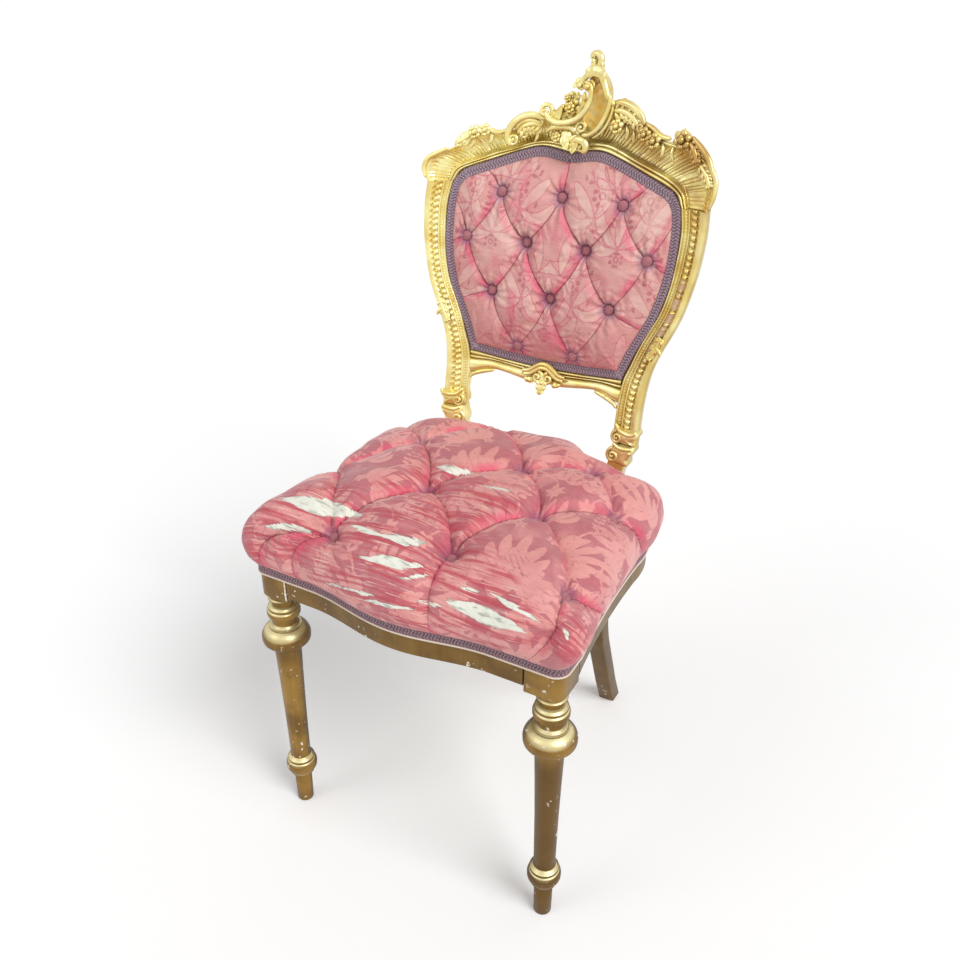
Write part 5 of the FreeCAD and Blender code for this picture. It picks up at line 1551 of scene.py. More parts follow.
def leaf(points: Array, width: float, lobes: int, proud: float, curl: float, thick: float = 3.2,
         count: int = 72) -> Piece:
    """Carve a lobed acanthus leaf along a line.

    Args:
        points: places across and up, from the stem to the tip.
        width: its greatest half width.
        lobes: how many lobes each side has.
        proud: how far its stem stands out.
        curl: how much further its tip stands out.
        thick: its half thickness.
        count: how many sections it has.

    Returns:
        The carved leaf.
    """
    share = np.linspace(0, 1, count)
    swell = np.sin(math.pi * share)[:, None]
    lobe = 0.76 + 0.24 * abs(np.sin(math.pi * lobes * share)) ** 0.8
    half = width * np.sin(math.pi * (0.06 + 0.94 * share) ** 0.75) ** 0.6 * lobe + 0.4
    turn = np.linspace(0, 2 * math.pi, 19)[None]
    flutes = np.cos(turn * 4 + 0.4) * np.clip(np.sin(turn), 0, 1) * swell
    notch = np.cos(turn) ** 2 * np.cos(2 * math.pi * lobes * share)[:, None]
    height = thick * (0.35 + 0.65 * abs(swell) ** 0.5) * np.sin(turn)
    height = height + thick * (0.34 * flutes - 0.2 * notch) + 0.6 * curl * np.cos(turn) ** 2
    line = raised(smooth_path(points, count), proud + curl * share ** 2)
    return carve("leaf", swept(line, half[:, None] * np.cos(turn), height))


def berry(centre: Array, radius: float, proud: float) -> Piece:
    """Carve a round berry: a ball primitive set on the back's surface."""
    deselect()
    place = SURFACE.lift(MM * np.array([*centre, proud]))
    bpy.ops.mesh.primitive_uv_sphere_add(segments=14, ring_count=9, radius=MM * radius, location=place)
    bpy.ops.object.transform_apply(location=True, rotation=False, scale=False)
    return bpy.context.object


def finger(points: Array, thick: float, proud: float, lift: float = 1.5) -> Piece:
    """Carve a rib that swells past its root and narrows to a round tip."""
    share = np.linspace(0, 1, 16)
    body = thick * (0.5 + 0.5 * np.sin(math.pi * (0.1 + 0.9 * share) ** 0.8))
    body *= np.sqrt(np.clip(1 - share ** 6, 0.02, 1))
    line = raised(smooth_path(points, len(share)), proud + lift * np.sin(math.pi * share))
    return carve("finger", carved_tube(line, body, 0.85, 10))


def frond(points: Array, reach: float, fingers: int, proud: float, thick: float,
          sides: tuple[int, ...] = (1, -1)) -> list[Piece]:
    """Carve an acanthus frond: a spine on a thin web, and ribs that sweep forward from it.

    Args:
        points: places across and up, from the stem to the tip.
        reach: how long the longest rib is.
        fingers: how many ribs each side has.
        proud: how far the ribs stand out.
        thick: a rib's radius.
        sides: which sides have ribs, 1 for left of the way to the tip, -1 for right.

    Returns:
        The carved pieces.
    """
    spine = smooth_path(points, 60)
    ahead = np.gradient(spine, axis=0)
    ahead /= np.linalg.norm(ahead, axis=1)[:, None]
    made = [scroll(points, thick * 1.3, thick * 0.7, proud + thick * 0.5, 40),
            leaf(points, reach * 0.95, fingers, proud - 0.8, 0.6, 2.6, 40)]
    for share in np.linspace(0.06, 0.84, fingers):
        root, way = spine[round(share * 59)], ahead[round(share * 59)]
        long = reach * (1 - 0.4 * share)
        for side in sides:
            aside = side * np.array([-way[1], way[0]])
            bend = [root, root + long * (0.5 * aside + 0.3 * way), root + long * (0.66 * aside + 0.85 * way)]
            made.append(finger(bend, thick, proud))
    return made


def posy(centre: Array, radius: float, proud: float) -> list[Piece]:
    """Carve a full flower head: plump petals round a berry, on a cushion."""
    made = [berry(centre, radius * 0.72, proud - radius * 0.3),
            berry(centre, radius * 0.3, proud + radius * 0.52)]
    for index in range(6):
        angle = 2 * math.pi * (index + 0.35) / 6
        way = np.array([math.cos(angle), math.sin(angle)])
        line = [centre + radius * share * way for share in (0.3, 0.62, 0.94)]
        made.append(finger(line, radius * 0.36, proud + radius * 0.12, radius * 0.12))
    return made


def carved(rows: tuple, side: Side = Side.RIGHT) -> list[Piece]:
    """Carve rows that are drawn for the right, or their mirror images.

    Args:
        rows: for each carving, what carves it, its place or line, and its other sizes in order.
        side: the side that the carvings are for.

    Returns:
        The carved pieces.
    """
    made = []
    for carver, line, *sizes in rows:
        if carver is volute and side is Side.LEFT:
            sizes[1] = 180 - sizes[1]
            sizes[-1] *= -1
        pieces = carver(np.array(line) * (side.value, 1), *sizes)
        made += pieces if isinstance(pieces, list) else [pieces]
    return made


# Wooden frame
@dataclass
class FrontLegs:
    """Two turned legs with square blocks, painted bronze."""

    half_spacing: float = 0.182
    setback: float = -0.190
    block_out: float = 0.019
    block_in: float = 0.025
    block_round: float = 0.014
    block_ease: float = 0.0012
    block_base: float = 0.345
    block_top: float = 0.412
    sides: int = 72
    profile: tuple = (
        (9.0, 0.0, 0.0), (10.6, 1.6, 0.4), (11.0, 20.0, 0.0), (11.3, 44.6, 0.0), (11.0, 45.2, 0.0),
        (12.2, 45.6, 0.0), (11.9, 48.2, 0.6), (11.6, 48.6, 0.0), (14.2, 49.2, 0.0), (15.0, 53.0, 1.1),
        (14.8, 53.3, 0.0), (17.8, 56.0, 0.4), (20.2, 64.0, 0.8), (19.2, 70.5, 0.5), (17.4, 73.2, 0.3),
        (16.6, 73.4, 0.0), (17.2, 74.0, 0.0), (16.0, 78.0, 1.0), (14.0, 79.6, 0.2), (12.9, 83.5, -0.7),
        (13.1, 100.0, 0.0), (13.9, 160.0, 0.0), (15.3, 215.0, 0.0), (16.6, 255.0, 0.0), (16.8, 263.4, 0.0),
        (18.4, 264.0, 0.0), (18.6, 267.4, 0.9), (18.8, 267.8, 0.0), (25.5, 270.0, 0.8), (30.0, 278.0, 1.6),
        (28.2, 287.0, 0.9), (20.8, 294.2, 0.9), (20.2, 294.5, 0.0), (20.3, 296.1, 0.3), (19.6, 296.3, 0.0),
        (16.0, 298.0, -0.8), (14.2, 302.5, -0.6), (14.0, 309.6, 0.0), (17.4, 310.2, 0.0), (20.4, 315.5, 1.3),
        (18.4, 320.6, 1.0), (17.6, 321.0, 0.0), (18.4, 321.6, 0.0), (17.4, 325.2, 0.9), (14.6, 327.0, 0.4),
        (13.3, 327.3, 0.0), (13.0, 330.0, -0.2), (13.0, 334.0, 0.0), (13.4, 334.8, -0.2), (15.8, 335.1, 0.0),
        (15.8, 338.7, 1.6), (15.4, 339.0, 0.0), (18.9, 345.2, -0.8), (16.0, 347.0, 0.0),
    )

    def outline(self) -> Array:
        """Give the turning's radius and level step by step, with each stretch's swell drawn in."""
        steps = MM * np.array(self.profile)
        share = np.linspace(0, 1, 8)[1:, None]
        points = [steps[:1, :2]]
        for start, end in zip(steps, steps[1:]):
            chord = end[:2] - start[:2]
            sideways = np.array([chord[1], -chord[0]]) / np.linalg.norm(chord)
            curve = start[:2] + share * chord + 4 * share * (1 - share) * end[2] * sideways
            points.append(curve if end[2] else end[None, :2])
        return np.vstack(points)

    def block(self, side: Side) -> Piece:
        """Model a leg's block: a cube, resized, its outer front corner rounded and its edges eased."""
        deselect()
        bpy.ops.mesh.primitive_cube_add(size=1)
        block = bpy.context.object
        bpy.ops.object.mode_set(mode="EDIT")
        bpy.ops.mesh.select_all(action="SELECT")
        wide, tall = self.block_out + self.block_in, self.block_top - self.block_base
        bpy.ops.transform.resize(value=(wide, wide, tall), center_override=(0, 0, 0))
        shift = (self.block_out - self.block_in) / 2
        middle = (self.block_base + self.block_top) / 2
        bpy.ops.transform.translate(value=(side.value * shift, -shift, middle))
        bpy.ops.mesh.select_all(action="DESELECT")
        bpy.ops.object.mode_set(mode="OBJECT")
        for edge in block.data.edges:
            ends = [block.data.vertices[index].co for index in edge.vertices]
            upright = abs(ends[0].z - ends[1].z) > tall / 2
            edge.select = upright and side.value * ends[0].x > 0 and ends[0].y < 0
        bpy.ops.object.mode_set(mode="EDIT")
        bpy.ops.mesh.select_mode(type="EDGE")
        bpy.ops.mesh.bevel(offset=self.block_round, segments=10, affect="EDGES")
        bpy.ops.object.mode_set(mode="OBJECT")
        apply_modifier(block, "BEVEL", width=self.block_ease, segments=3, limit_method="ANGLE",
                       angle_limit=math.radians(40))
        return block

    def build(self, paint: Material) -> None:
        """Model and dress both legs."""
        for side in Side:
            name = f"turned_front_leg_{side.word}"
            shaft = turned(name, self.outline(), self.sides)
            leg = join([shaft, self.block(side)], name)
            leg.data.transform(Matrix.Translation((side.value * self.half_spacing, self.setback, 0)))
            smooth(leg, 35)
            finish(leg, Slot.BRONZE, paint, f"front_leg_{side.word}")


@dataclass
class SeatFrame:
    """Seat rails, corner blocks, dowels and screws."""

    base: float = 0.352
    top: float = 0.412
    thickness: float = 0.022
    ease: float = 0.0022
    block_edge: float = 0.157
    side_front: float = -0.165
    post_outer: float = 0.12
    steps: int = 1200

    def rail(self, name: str, run: Array, sideways: Array) -> Piece:
        """Sweep a section with eased edges along a run of the seat's outline."""
        wide, tall = self.thickness, self.top - self.base
        across, up = rounded(np.array([wide]), tall, self.ease)
        plan = run[:, None] - sideways[:, None] * (wide / 2 + across)[..., None]
        rail = draped_grid(name, raised(plan, self.base + tall / 2 + up))
        smooth(rail, 35)
        return rail

    def build(self, paint: Material, beech: Material, steel: Material) -> None:
        """Model and dress the rails, and dress the joinery."""
        loop = SEAT.outline(self.steps)
        sideways = outward(loop)
        front = (abs(loop[:, 0]) < self.block_edge) & (loop[:, 1] < self.side_front)
        order = np.flatnonzero(front)
        order = np.concatenate([order[order > self.steps / 2], order[order <= self.steps / 2]])
        rail = self.rail("serpentine_front_rail", loop[order], sideways[order])
        finish(rail, Slot.BRONZE, paint, "front_seat_rail")
        for side in Side:
            run = (loop[:, 1] > self.side_front) & (side.value * loop[:, 0] > self.post_outer)
            rail = self.rail(f"waisted_side_rail_{side.word}", loop[run], sideways[run])
            finish(rail, Slot.BRONZE, paint, f"side_seat_rail_{side.word}")
        finish(node_copy("rear_seat_rail", "straight_rear_rail"), Slot.BRONZE, paint, "rear_seat_rail")
        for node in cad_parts:
            block = node.startswith("corner_block_") and node != "corner_block_screws"
            if block or node.endswith("_dowels"):
                finish(node_copy(node, f"beech_{node}"), Slot.BEECH, beech, node)
        screws = node_copy("corner_block_screws", "steel_block_screws")
        finish(screws, Slot.STEEL, steel, "corner_block_screws")


@dataclass
class BackPosts:
    """Sabre legs in bronze paint, and gilt necks, ankle capitals and moulded stiles above them."""

    half_spacing: float = 0.108
    depth: float = 0.128
    width: float = 0.024
    thickness: float = 0.026
    leg_ease: float = 0.0035
    neck_ease: float = 0.003
    frame_thickness: float = 0.026
    rebate: float = 0.009
    sabre: tuple = ((0.0, 0.081, 0.006), (0.022, 0.0708, 0.006), (0.047, 0.0592, 0.006),
                    (0.09, 0.042, 0.006), (0.127, 0.027, 0.006), (0.16, 0.0142, 0.0057),
                    (0.2, 0.0046, 0.0048), (0.25, 0.0006, 0.003), (0.303, 0.0, 0.001), (0.352, 0.0, 0.0),
                    (0.411, 0.0, 0.0))
    neck: tuple = ((0.411, 0.108, 0.128, 0.024), (0.43, 0.1115, 0.1275, 0.0232),
                   (0.455, 0.118, 0.1275, 0.0222), (0.475, 0.122, 0.128, 0.021))
    stile: tuple = ((0.483, 0.1065, 0.1417, 0.0), (0.51, 0.1065, 0.1412, 0.0), (0.53, 0.1067, 0.1412, 0.1),
                    (0.557, 0.1096, 0.1433, 1.0), (0.578, 0.1167, 0.1472, 1.0), (0.6, 0.1243, 0.155, 1.0),
                    (0.622, 0.134, 0.1647, 1.0), (0.646, 0.145, 0.174, 1.0), (0.675, 0.1525, 0.181, 1.0),
                    (0.704, 0.1558, 0.186, 1.0), (0.739, 0.1566, 0.188, 1.0), (0.767, 0.1516, 0.1865, 1.0))
    moulding: tuple = ((0.0, 0.34), (0.0, 0.18), (0.02, 0.1), (0.055, 0.065), (0.09, 0.085),
                       (0.105, 0.14), (0.135, 0.19), (0.195, 0.21), (0.25, 0.18), (0.28, 0.12),
                       (0.3, 0.085), (0.325, 0.075), (0.35, 0.1), (0.362, 0.15), (0.385, 0.13),
                       (0.44, 0.07), (0.5, 0.05), (0.56, 0.07), (0.605, 0.13), (0.625, 0.185),
                       (0.645, 0.185), (0.665, 0.11), (0.7, 0.045), (0.76, 0.008), (0.83, 0.0),
                       (0.9, 0.03), (0.955, 0.11), (0.99, 0.24), (0.985, 0.45), (0.94, 0.72),
                       (0.86, 0.92), (0.78, 1.0))
    gadroon: float = 0.0074
    hollowed: float = 0.42
    neck_amber: float = 0.3
    rebate_share: float = 0.346
    knot: tuple = ((frond, ((153.5, 620.5), (148, 607), (139.5, 591)), 7.5, 3, 1, 1.8),
                   (finger, ((157, 601), (152.5, 606.5), (147.5, 613)), 2.6, 1))

    def sweep(self, middle: Array, width: Array, soft: float) -> Array:
        """Sweep a rounded section along middles given as across, back and up."""
        across, back = rounded(width, self.thickness, soft)
        x, y, z = (values[:, None] for values in middle)
        return np.stack(np.broadcast_arrays(x + across, y + back, z), axis=2)

    def sabre_leg(self, side: Side) -> Piece:
        """Sweep the curved leg from the floor to the seat joint."""
        level, back, lean = smooth_path(self.sabre, 90).T
        middle = (side.value * (self.half_spacing - lean), self.depth + back, level)
        places = self.sweep(middle, np.full(len(level), self.width), self.leg_ease)
        leg = draped_grid(f"sabre_leg_{side.word}", places)
        smooth(leg, 40)
        return leg

    def neck_post(self, side: Side) -> Piece:
        """Sweep the plain neck from the seat joint up into the ankle."""
        level, across, back, width = smooth_path(self.neck, 40).T
        places = self.sweep((side.value * across, back, level), width, self.neck_ease)
        amber = np.full(places.shape[:2], self.neck_amber)
        return draped_grid(f"neck_{side.word}", places, {"amber": amber})

    def stile_post(self, side: Side) -> Piece:
        """Sweep the stile's moulding and carve its gadroons and leaf edge."""
        line = smooth_path([row[:3] for row in self.stile], 460)
        level, inner, outer = line.T
        lip = np.interp(level, [row[0] for row in self.stile], [row[3] for row in self.stile])
        face = smooth_path(self.moulding, 92)
        run = travelled(line[:, :2])[:, None]
        u, v = face[:, 0][None], face[:, 1][None]
        lumps = band(u, 0.365, 0.4, 0.59, 0.625)
        egg = abs(np.sin(math.pi * (run / self.gadroon + 1.1 * (u - 0.5)))) ** 0.7
        cove = band(u, 0.12, 0.16, 0.24, 0.28)
        flutes = abs(np.sin(2 * math.pi * run / self.gadroon)) ** 0.7
        ragged = np.sin(run * 310) + 0.8 * np.sin(run * 733 + 1) + 0.5 * np.sin(run * 1490 + 2 * u * 40)
        lost = ease(-0.6, -0.1, ragged) * band(u, 0.36, 0.4, 0.6, 0.66)
        lost = lost * band(level, 0.585, 0.6, 0.68, 0.7)[:, None] * (side is Side.RIGHT)
        deep = v + 0.12 * lumps * (1 - egg) * (1 - lost) + 0.05 * lumps * lost + 0.025 * cove * (1 - flutes)
        scallop = band(u, 0.615, 0.64, 0.67, 0.71) * np.sin(2 * math.pi * run / self.gadroon)
        x = inner[:, None] + u * (outer - inner)[:, None] + 0.0007 * scallop
        proud = -deep * self.frame_thickness
        rear = inner - lip * self.rebate + (1 - lip) * self.hollowed * (outer - inner)
        closing = np.stack([rear, inner - lip * self.rebate, inner], axis=1)
        depths = np.array([-1.0, -self.rebate_share, -self.rebate_share]) * self.frame_thickness
        x = np.hstack([x, closing, x[:, :1]])
        proud = np.hstack([proud, np.repeat(depths[None], len(line), axis=0), proud[:, :1]])
        flat = np.stack([side.value * x, np.repeat(level[:, None], x.shape[1], axis=1), proud], axis=2)
        lost = np.hstack([lost, np.zeros((len(line), x.shape[1] - lost.shape[1]))])
        return draped_grid(f"stile_{side.word}", SURFACE.lift(flat), {"loss": lost})

    def build(self, gold: Material, paint: Material) -> None:
        """Model and dress both posts."""
        for side in Side:
            finish(self.sabre_leg(side), Slot.BRONZE, paint)
            parts = [self.stile_post(side), self.neck_post(side)]
            parts += AnkleCapital(side).build()
            parts += carved(self.knot, side)
            post = join(parts, f"gilt_post_{side.word}")
            smooth(post, 55)
            finish(post, Slot.GILT, gold, f"back_post_{side.word}")


@dataclass
class AnkleCapital:
    """Two stacked consoles under a stile, each with a lip outside and a volute inside, in millimetres."""

    side: Side
    offset: float = 122
    front: float = 3
    rear: float = -18
    upper: tuple = ((-10.5, 483), (-14.5, 487.5), (-14, 494), (-12.2, 498.5), (-11.5, 501.2), (0, 501.5),
                    (12.5, 501.5), (19.2, 500.5), (21.2, 497.5), (20.5, 493.8), (17.2, 490.6), (15.2, 487.2),
                    (15, 483))
    lower: tuple = ((-10.2, 455), (-16.2, 460.5), (-17.2, 468), (-14.2, 475.5), (-11.2, 482.8), (0, 483.5),
                    (11, 483.5), (16.8, 482), (18.8, 478.5), (18.2, 473.8), (14.8, 469.2), (12.2, 463.2),
                    (11.2, 455))
    face: tuple = ((0.0, 3.2), (0.35, 3.0), (0.62, 2.2), (0.82, 0.4), (0.94, -1.8), (1.0, -5.0))
    reeds: tuple = (
        (volute, (115.2, 490.8), 7.8, 90, 1.7, 2.5, 7.2, 1),
        (volute, (113.2, 466.8), 8.8, 90, 1.7, 2.7, 7.6, 1),
        (scroll, ((110, 507.5), (117.5, 499.8), (130, 497.5), (138.5, 500), (140, 504.5)), 3.4, 2, 4),
        (scroll, ((111, 482.5), (120, 478.2), (131, 478.8), (138.5, 480.8)), 3.4, 2, 4),
        (scroll, ((137.5, 474.5), (129.5, 473), (123, 469), (122, 460)), 3, 1.6, 3),
    )

    def console(self, outline: tuple) -> Piece:
        """Model one tier: its outline carried from the front to the back with eased edges."""
        loop = smooth_path([*outline, outline[0]], 110)
        middle = loop.mean(axis=0)
        rows = []
        for share, proud in (*((share, self.front + rise) for share, rise in self.face),
                             (1.0, self.rear + 2), (0.95, self.rear), (0.0, self.rear)):
            plan = (middle + (loop - middle) * share + (self.offset, 0)) * (self.side.value, 1)
            rows.append(raised(plan, proud))
        return carve("console", np.array(rows))

    def build(self) -> list[Piece]:
        """Model the tiers, their volutes and the reeds that run from lip to volute."""
        return [self.console(self.upper), self.console(self.lower), *carved(self.reeds, self.side)]


@dataclass
class CrestRail:
    """The arched crest: a double bead along the braid, a fluted cove and a rolled edge."""

    lower: tuple = ((0.1516, 0.767), (0.139, 0.7829), (0.0988, 0.7976), (0.0608, 0.8109), (0.035, 0.816),
                    (0.0, 0.8109))
    upper: tuple = ((0.1865, 0.767), (0.1905, 0.786), (0.1905, 0.8), (0.184, 0.812), (0.173, 0.8215),
                    (0.158, 0.8285), (0.14, 0.8325), (0.126, 0.8345), (0.112, 0.8385), (0.1, 0.846),
                    (0.088, 0.854), (0.072, 0.8605), (0.05, 0.8645), (0.025, 0.866), (0.0, 0.86),
                    (-0.03, 0.8505), (-0.05, 0.844), (-0.066, 0.8395), (-0.08, 0.8315), (-0.094, 0.827),
                    (-0.107, 0.8275), (-0.12, 0.828), (-0.133, 0.8225), (-0.145, 0.814), (-0.157, 0.8075),
                    (-0.17, 0.802), (-0.183, 0.794), (-0.1885, 0.782), (-0.1865, 0.767))
    section: tuple = ((0.0, 0.0095), (0.0, 0.005), (0.025, 0.0028), (0.055, 0.0022), (0.085, 0.003),
                      (0.105, 0.0052), (0.125, 0.003), (0.155, 0.0024), (0.185, 0.0035), (0.21, 0.0075),
                      (0.3, 0.0112), (0.45, 0.0122), (0.62, 0.0105), (0.78, 0.0062), (0.88, 0.002),
                      (0.93, 0.0004), (0.97, 0.0012), (1.0, 0.0045), (0.99, 0.009), (0.94, 0.015),
                      (0.86, 0.026))
    rebate: float = 0.009
    thickness: float = 0.026
    flute: float = 0.0056
    flute_depth: float = 0.0011
    dowel_cover: float = 0.0072
    steps: int = 900
    corners: tuple = (
        (scroll, ((-186, 770), (-189, 783), (-184.5, 793.5), (-174, 800), (-160, 806.5)), 3.2, 1.8, 0),
        (scroll, ((186.5, 770), (190.5, 784), (190.5, 799), (184.5, 811), (174, 820.5)), 3.4, 1.8, 0),
    )

    def rail(self) -> Piece:
        """Sweep the crest's section from end to end and carve its flutes."""
        low = even_path(whole(smooth_path(self.lower, 200)), self.steps)
        high = smooth_path(self.upper, self.steps)
        u, deep = smooth_path(self.section, 84).T
        run = travelled(high)[:, None]
        front = np.arange(len(u)) <= np.argmax(u)
        cove = (front * band(u, 0.2, 0.3, 0.84, 0.9))[None]
        uneven = run + 0.0009 * np.sin(run * 190) + 0.0006 * np.sin(run * 431 + 1)
        flutes = abs(np.sin(math.pi * uneven / self.flute)) ** 0.85
        share = np.linspace(0, 1, self.steps)[:, None]
        ends = 1 - band(share, 0.05, 0.09, 0.91, 0.95)
        cover = ends * cove * np.clip(deep - self.dowel_cover, 0, None)[None]
        proud = -deep[None] + cover + self.flute_depth * cove * (flutes - 0.4)
        lip = low + (low - high) * (self.rebate / np.linalg.norm(high - low, axis=1))[:, None]
        return moulded("crest", low, high, u, proud, lip, self.thickness)

    def build(self, gold: Material) -> None:
        """Model and dress the crest with its rolled corners."""
        crest = join([self.rail(), *carved(self.corners)], "carved_crest_rail")
        smooth(crest, 55)
        finish(crest, Slot.GILT, gold, "crest_rail")


@dataclass
class CrestCarving:
    """The lopsided cartouche in the middle and the leaf sprays on each side, in millimetres."""

    cartouche: tuple = (
        (scroll, ((13, 892), (22, 887), (23.5, 872), (16, 858), (4, 849), (-13, 845.5), (-26, 849),
                  (-33, 857)), 3.7, 2.4, 13),
        (volute, (-34, 857), 8.5, -60, 1.6, 3, 12, 1),
        (scroll, ((47, 880), (47.5, 868), (44, 856), (37, 843.5), (27, 835.5), (17, 834)), 3.2, 2, 11),
        (scroll, ((50, 874), (51, 862), (47, 849), (40, 838.5), (30, 831)), 2.2, 1.4, 8),
        (volute, (14, 841.5), 8, -100, 1.6, 3, 11, -1),
        (scroll, ((8, 884), (11, 894), (20.5, 900), (32, 898.5), (38, 889), (44, 877), (54, 868)),
         4.4, 2.4, 9),
        (volute, (8.5, 887.5), 5.8, 80, 1.5, 2.4, 13, 1),
        (volute, (18.5, 886.5), 6.2, 100, 1.5, 2.6, 14, -1),
        (leaf, ((8, 893), (3, 890), (-1, 883.5)), 3.6, 2, 6, 3),
        (leaf, ((14, 897.5), (22, 903.5), (33, 902), (38, 893)), 6.2, 4, 10, 2),
        (scroll, ((30, 898), (26.5, 906), (28.5, 914.5), (24.5, 920.5), (18.5, 920.5), (15.5, 916.5)),
         4.2, 2.2, 6),
        (leaf, ((23.5, 900), (21.5, 907.5), (21.5, 915.5)), 4.2, 3, 7, 3),
        (leaf, ((32, 899), (31.5, 906.5), (30.5, 914)), 3, 2, 5, 2),
        (volute, (18.5, 917.5), 4.2, 60, 1.2, 1.8, 9, 1),
        (scroll, ((-30, 835), (-18, 840.5), (0, 841), (8, 836)), 4, 2, 8),
        (scroll, ((4, 824), (11, 828.5), (20, 826.5), (23.5, 819.5), (19, 814)), 5, 2.8, 9),
        (volute, (16.5, 820), 6.2, 120, 1.3, 2.4, 11, -1),
        (leaf, ((-2, 836), (-4, 827), (1, 816.5)), 7.2, 3, 6, 4),
        (leaf, ((6, 833), (8.5, 823), (7.5, 812.5)), 6, 3, 8, 3),
        (leaf, ((-27, 844), (-18, 853), (-12, 862)), 6, 3, 6, 4),
        (leaf, ((4, 856), (12, 866), (13, 880)), 5, 3, 4, 2),
        (frond, ((-26, 848.5), (-12, 854.5), (-2.5, 864.5), (3.5, 879)), 10.5, 6, 3, 1.8),
        (frond, ((24, 900), (22.5, 909), (20.5, 918.5)), 6, 4, 4, 1.5),
        (posy, (-3.5, 862.5), 7.8, 7), (posy, (-8.5, 872.5), 5.6, 5), (posy, (-18, 829), 7.8, 4),
        (berry, (18.5, 886.5), 3.6, 16.5), (berry, (8, 887), 3.4, 14.5), (berry, (-13, 862.5), 3, 7.5),
        (berry, (-3, 877.5), 3, 7.5), (berry, (4, 868.5), 3, 7.5), (berry, (-15.5, 855.5), 3, 7.5),
    )
    left_spray: tuple = (
        (scroll, ((-34, 847.5), (-49, 851), (-63.5, 848.5), (-75.5, 840), (-81.5, 828.5), (-79, 818.5),
                  (-72, 816)), 4.6, 2.2, 5),
        (volute, (-74.5, 822.2), 6.4, 230, 1.5, 2.4, 7, 1),
        (scroll, ((-40, 842.5), (-53.5, 845.2), (-65.5, 841.5), (-73.5, 833)), 3, 1.4, 3.5),
        (volute, (-60.5, 828.5), 5.5, 60, 1.4, 2.2, 3, 1),
        (finger, ((-107, 829.5), (-104.5, 821), (-108.5, 811.5)), 3, -2),
        (finger, ((-127, 824), (-127.5, 814.5), (-134, 806.5)), 3, -2),
        (finger, ((-46, 834), (-45, 826.5), (-49, 819.5)), 2.6, -2),
        (scroll, ((-84, 832), (-94, 828.5), (-105, 830.5), (-114, 834)), 3, 1.6, 1.5),
        (frond, ((-38, 839.5), (-50, 841), (-62, 837.5), (-69.5, 829)), 14, 5, 2.5, 2.5, (1,)),
        (frond, ((-130, 824.5), (-140.5, 818), (-152, 811)), 8.5, 3, -1.5, 2, (1,)),
        (posy, (-125.5, 827.5), 9.8, 1.5), (posy, (-112.5, 830.5), 8.8, 1),
    )
    right_spray: tuple = (
        (scroll, ((49, 869.5), (62, 871.5), (76, 867.5), (87.5, 859), (93.5, 849.5)), 4.4, 2.2, 4),
        (volute, (88.5, 847.5), 5.8, 20, 1.4, 2.3, 6, -1),
        (finger, ((68, 847), (71.5, 838), (68.5, 828.5)), 3, -1),
        (finger, ((78, 843), (80, 834), (78.5, 826.5)), 2.6, -2),
        (finger, ((116, 832), (119, 824), (116.5, 815.5)), 2.8, -2),
        (finger, ((131, 830), (130.5, 822), (134.5, 813.5)), 2.8, -2),
        (scroll, ((91.5, 851.5), (103, 847), (115, 840), (128, 838.5)), 3.4, 2, 1),
        (scroll, ((152.5, 843.5), (166.5, 833), (178, 821.5), (186, 807)), 3.6, 2, 1),
        (frond, ((50, 862.5), (64, 862.5), (76.5, 857), (85, 848)), 14, 5, 3, 2.8),
        (frond, ((150, 838), (158.5, 829), (163.5, 817)), 10.5, 4, 0.5, 2.5),
        (frond, ((168, 816), (177.5, 806), (184.5, 793)), 9.5, 4, 0.5, 2.3),
        (posy, (58, 846), 10.5, 3), (posy, (94.5, 840.5), 9.8, 3.5), (posy, (106.5, 834.5), 11.2, 2),
        (posy, (142.5, 839.5), 12.8, 2),
    )
    shell_line: tuple = ((24.5, 899), (31.5, 882), (31, 865), (25, 850), (18, 836))
    shell_half: float = 13
    shell_ribs: int = 7

    def shell(self) -> Piece:
        """Carve the ribbed hollow between the two scrolls."""
        share = np.linspace(0, 1, 60)
        turn = np.linspace(0, 2 * math.pi, 33)
        half = self.shell_half * np.sin(math.pi * (0.14 + 0.78 * share)) ** 0.6
        face = np.where(np.sin(turn) > 0, 0.5 + 5.5 * np.cos(turn) ** 2, -8.0)[None]
        ribs = 0.7 * np.sin(2 * math.pi * self.shell_ribs * share)[:, None] * np.clip(np.sin(turn), 0, 1)
        proud = face * (0.5 + 0.5 * np.sin(math.pi * share)[:, None] ** 0.4) + ribs
        path = raised(smooth_path(self.shell_line, len(share)), 2.0)
        places = SURFACE.lift(MM * swept(path, half[:, None] * np.cos(turn)[None], proud))
        amber = np.repeat(ease(0.35, 0.75, np.sin(turn))[None], len(share), axis=0)
        return draped_grid("shell", places, {"amber": amber})

    def build(self, gold: Material) -> None:
        """Model and dress the cartouche and the sprays."""
        middle = [*carved(self.cartouche), self.shell()]
        for parts, name, node in ((middle, "carved_cartouche", "crest_cartouche"),
                                  (carved(self.left_spray), "carved_spray_left", "crest_leaf_left"),
                                  (carved(self.right_spray), "carved_spray_right", "crest_leaf_right")):
            piece = join(parts, name)
            smooth(piece, 60)
            finish(piece, Slot.GILT, gold, node)


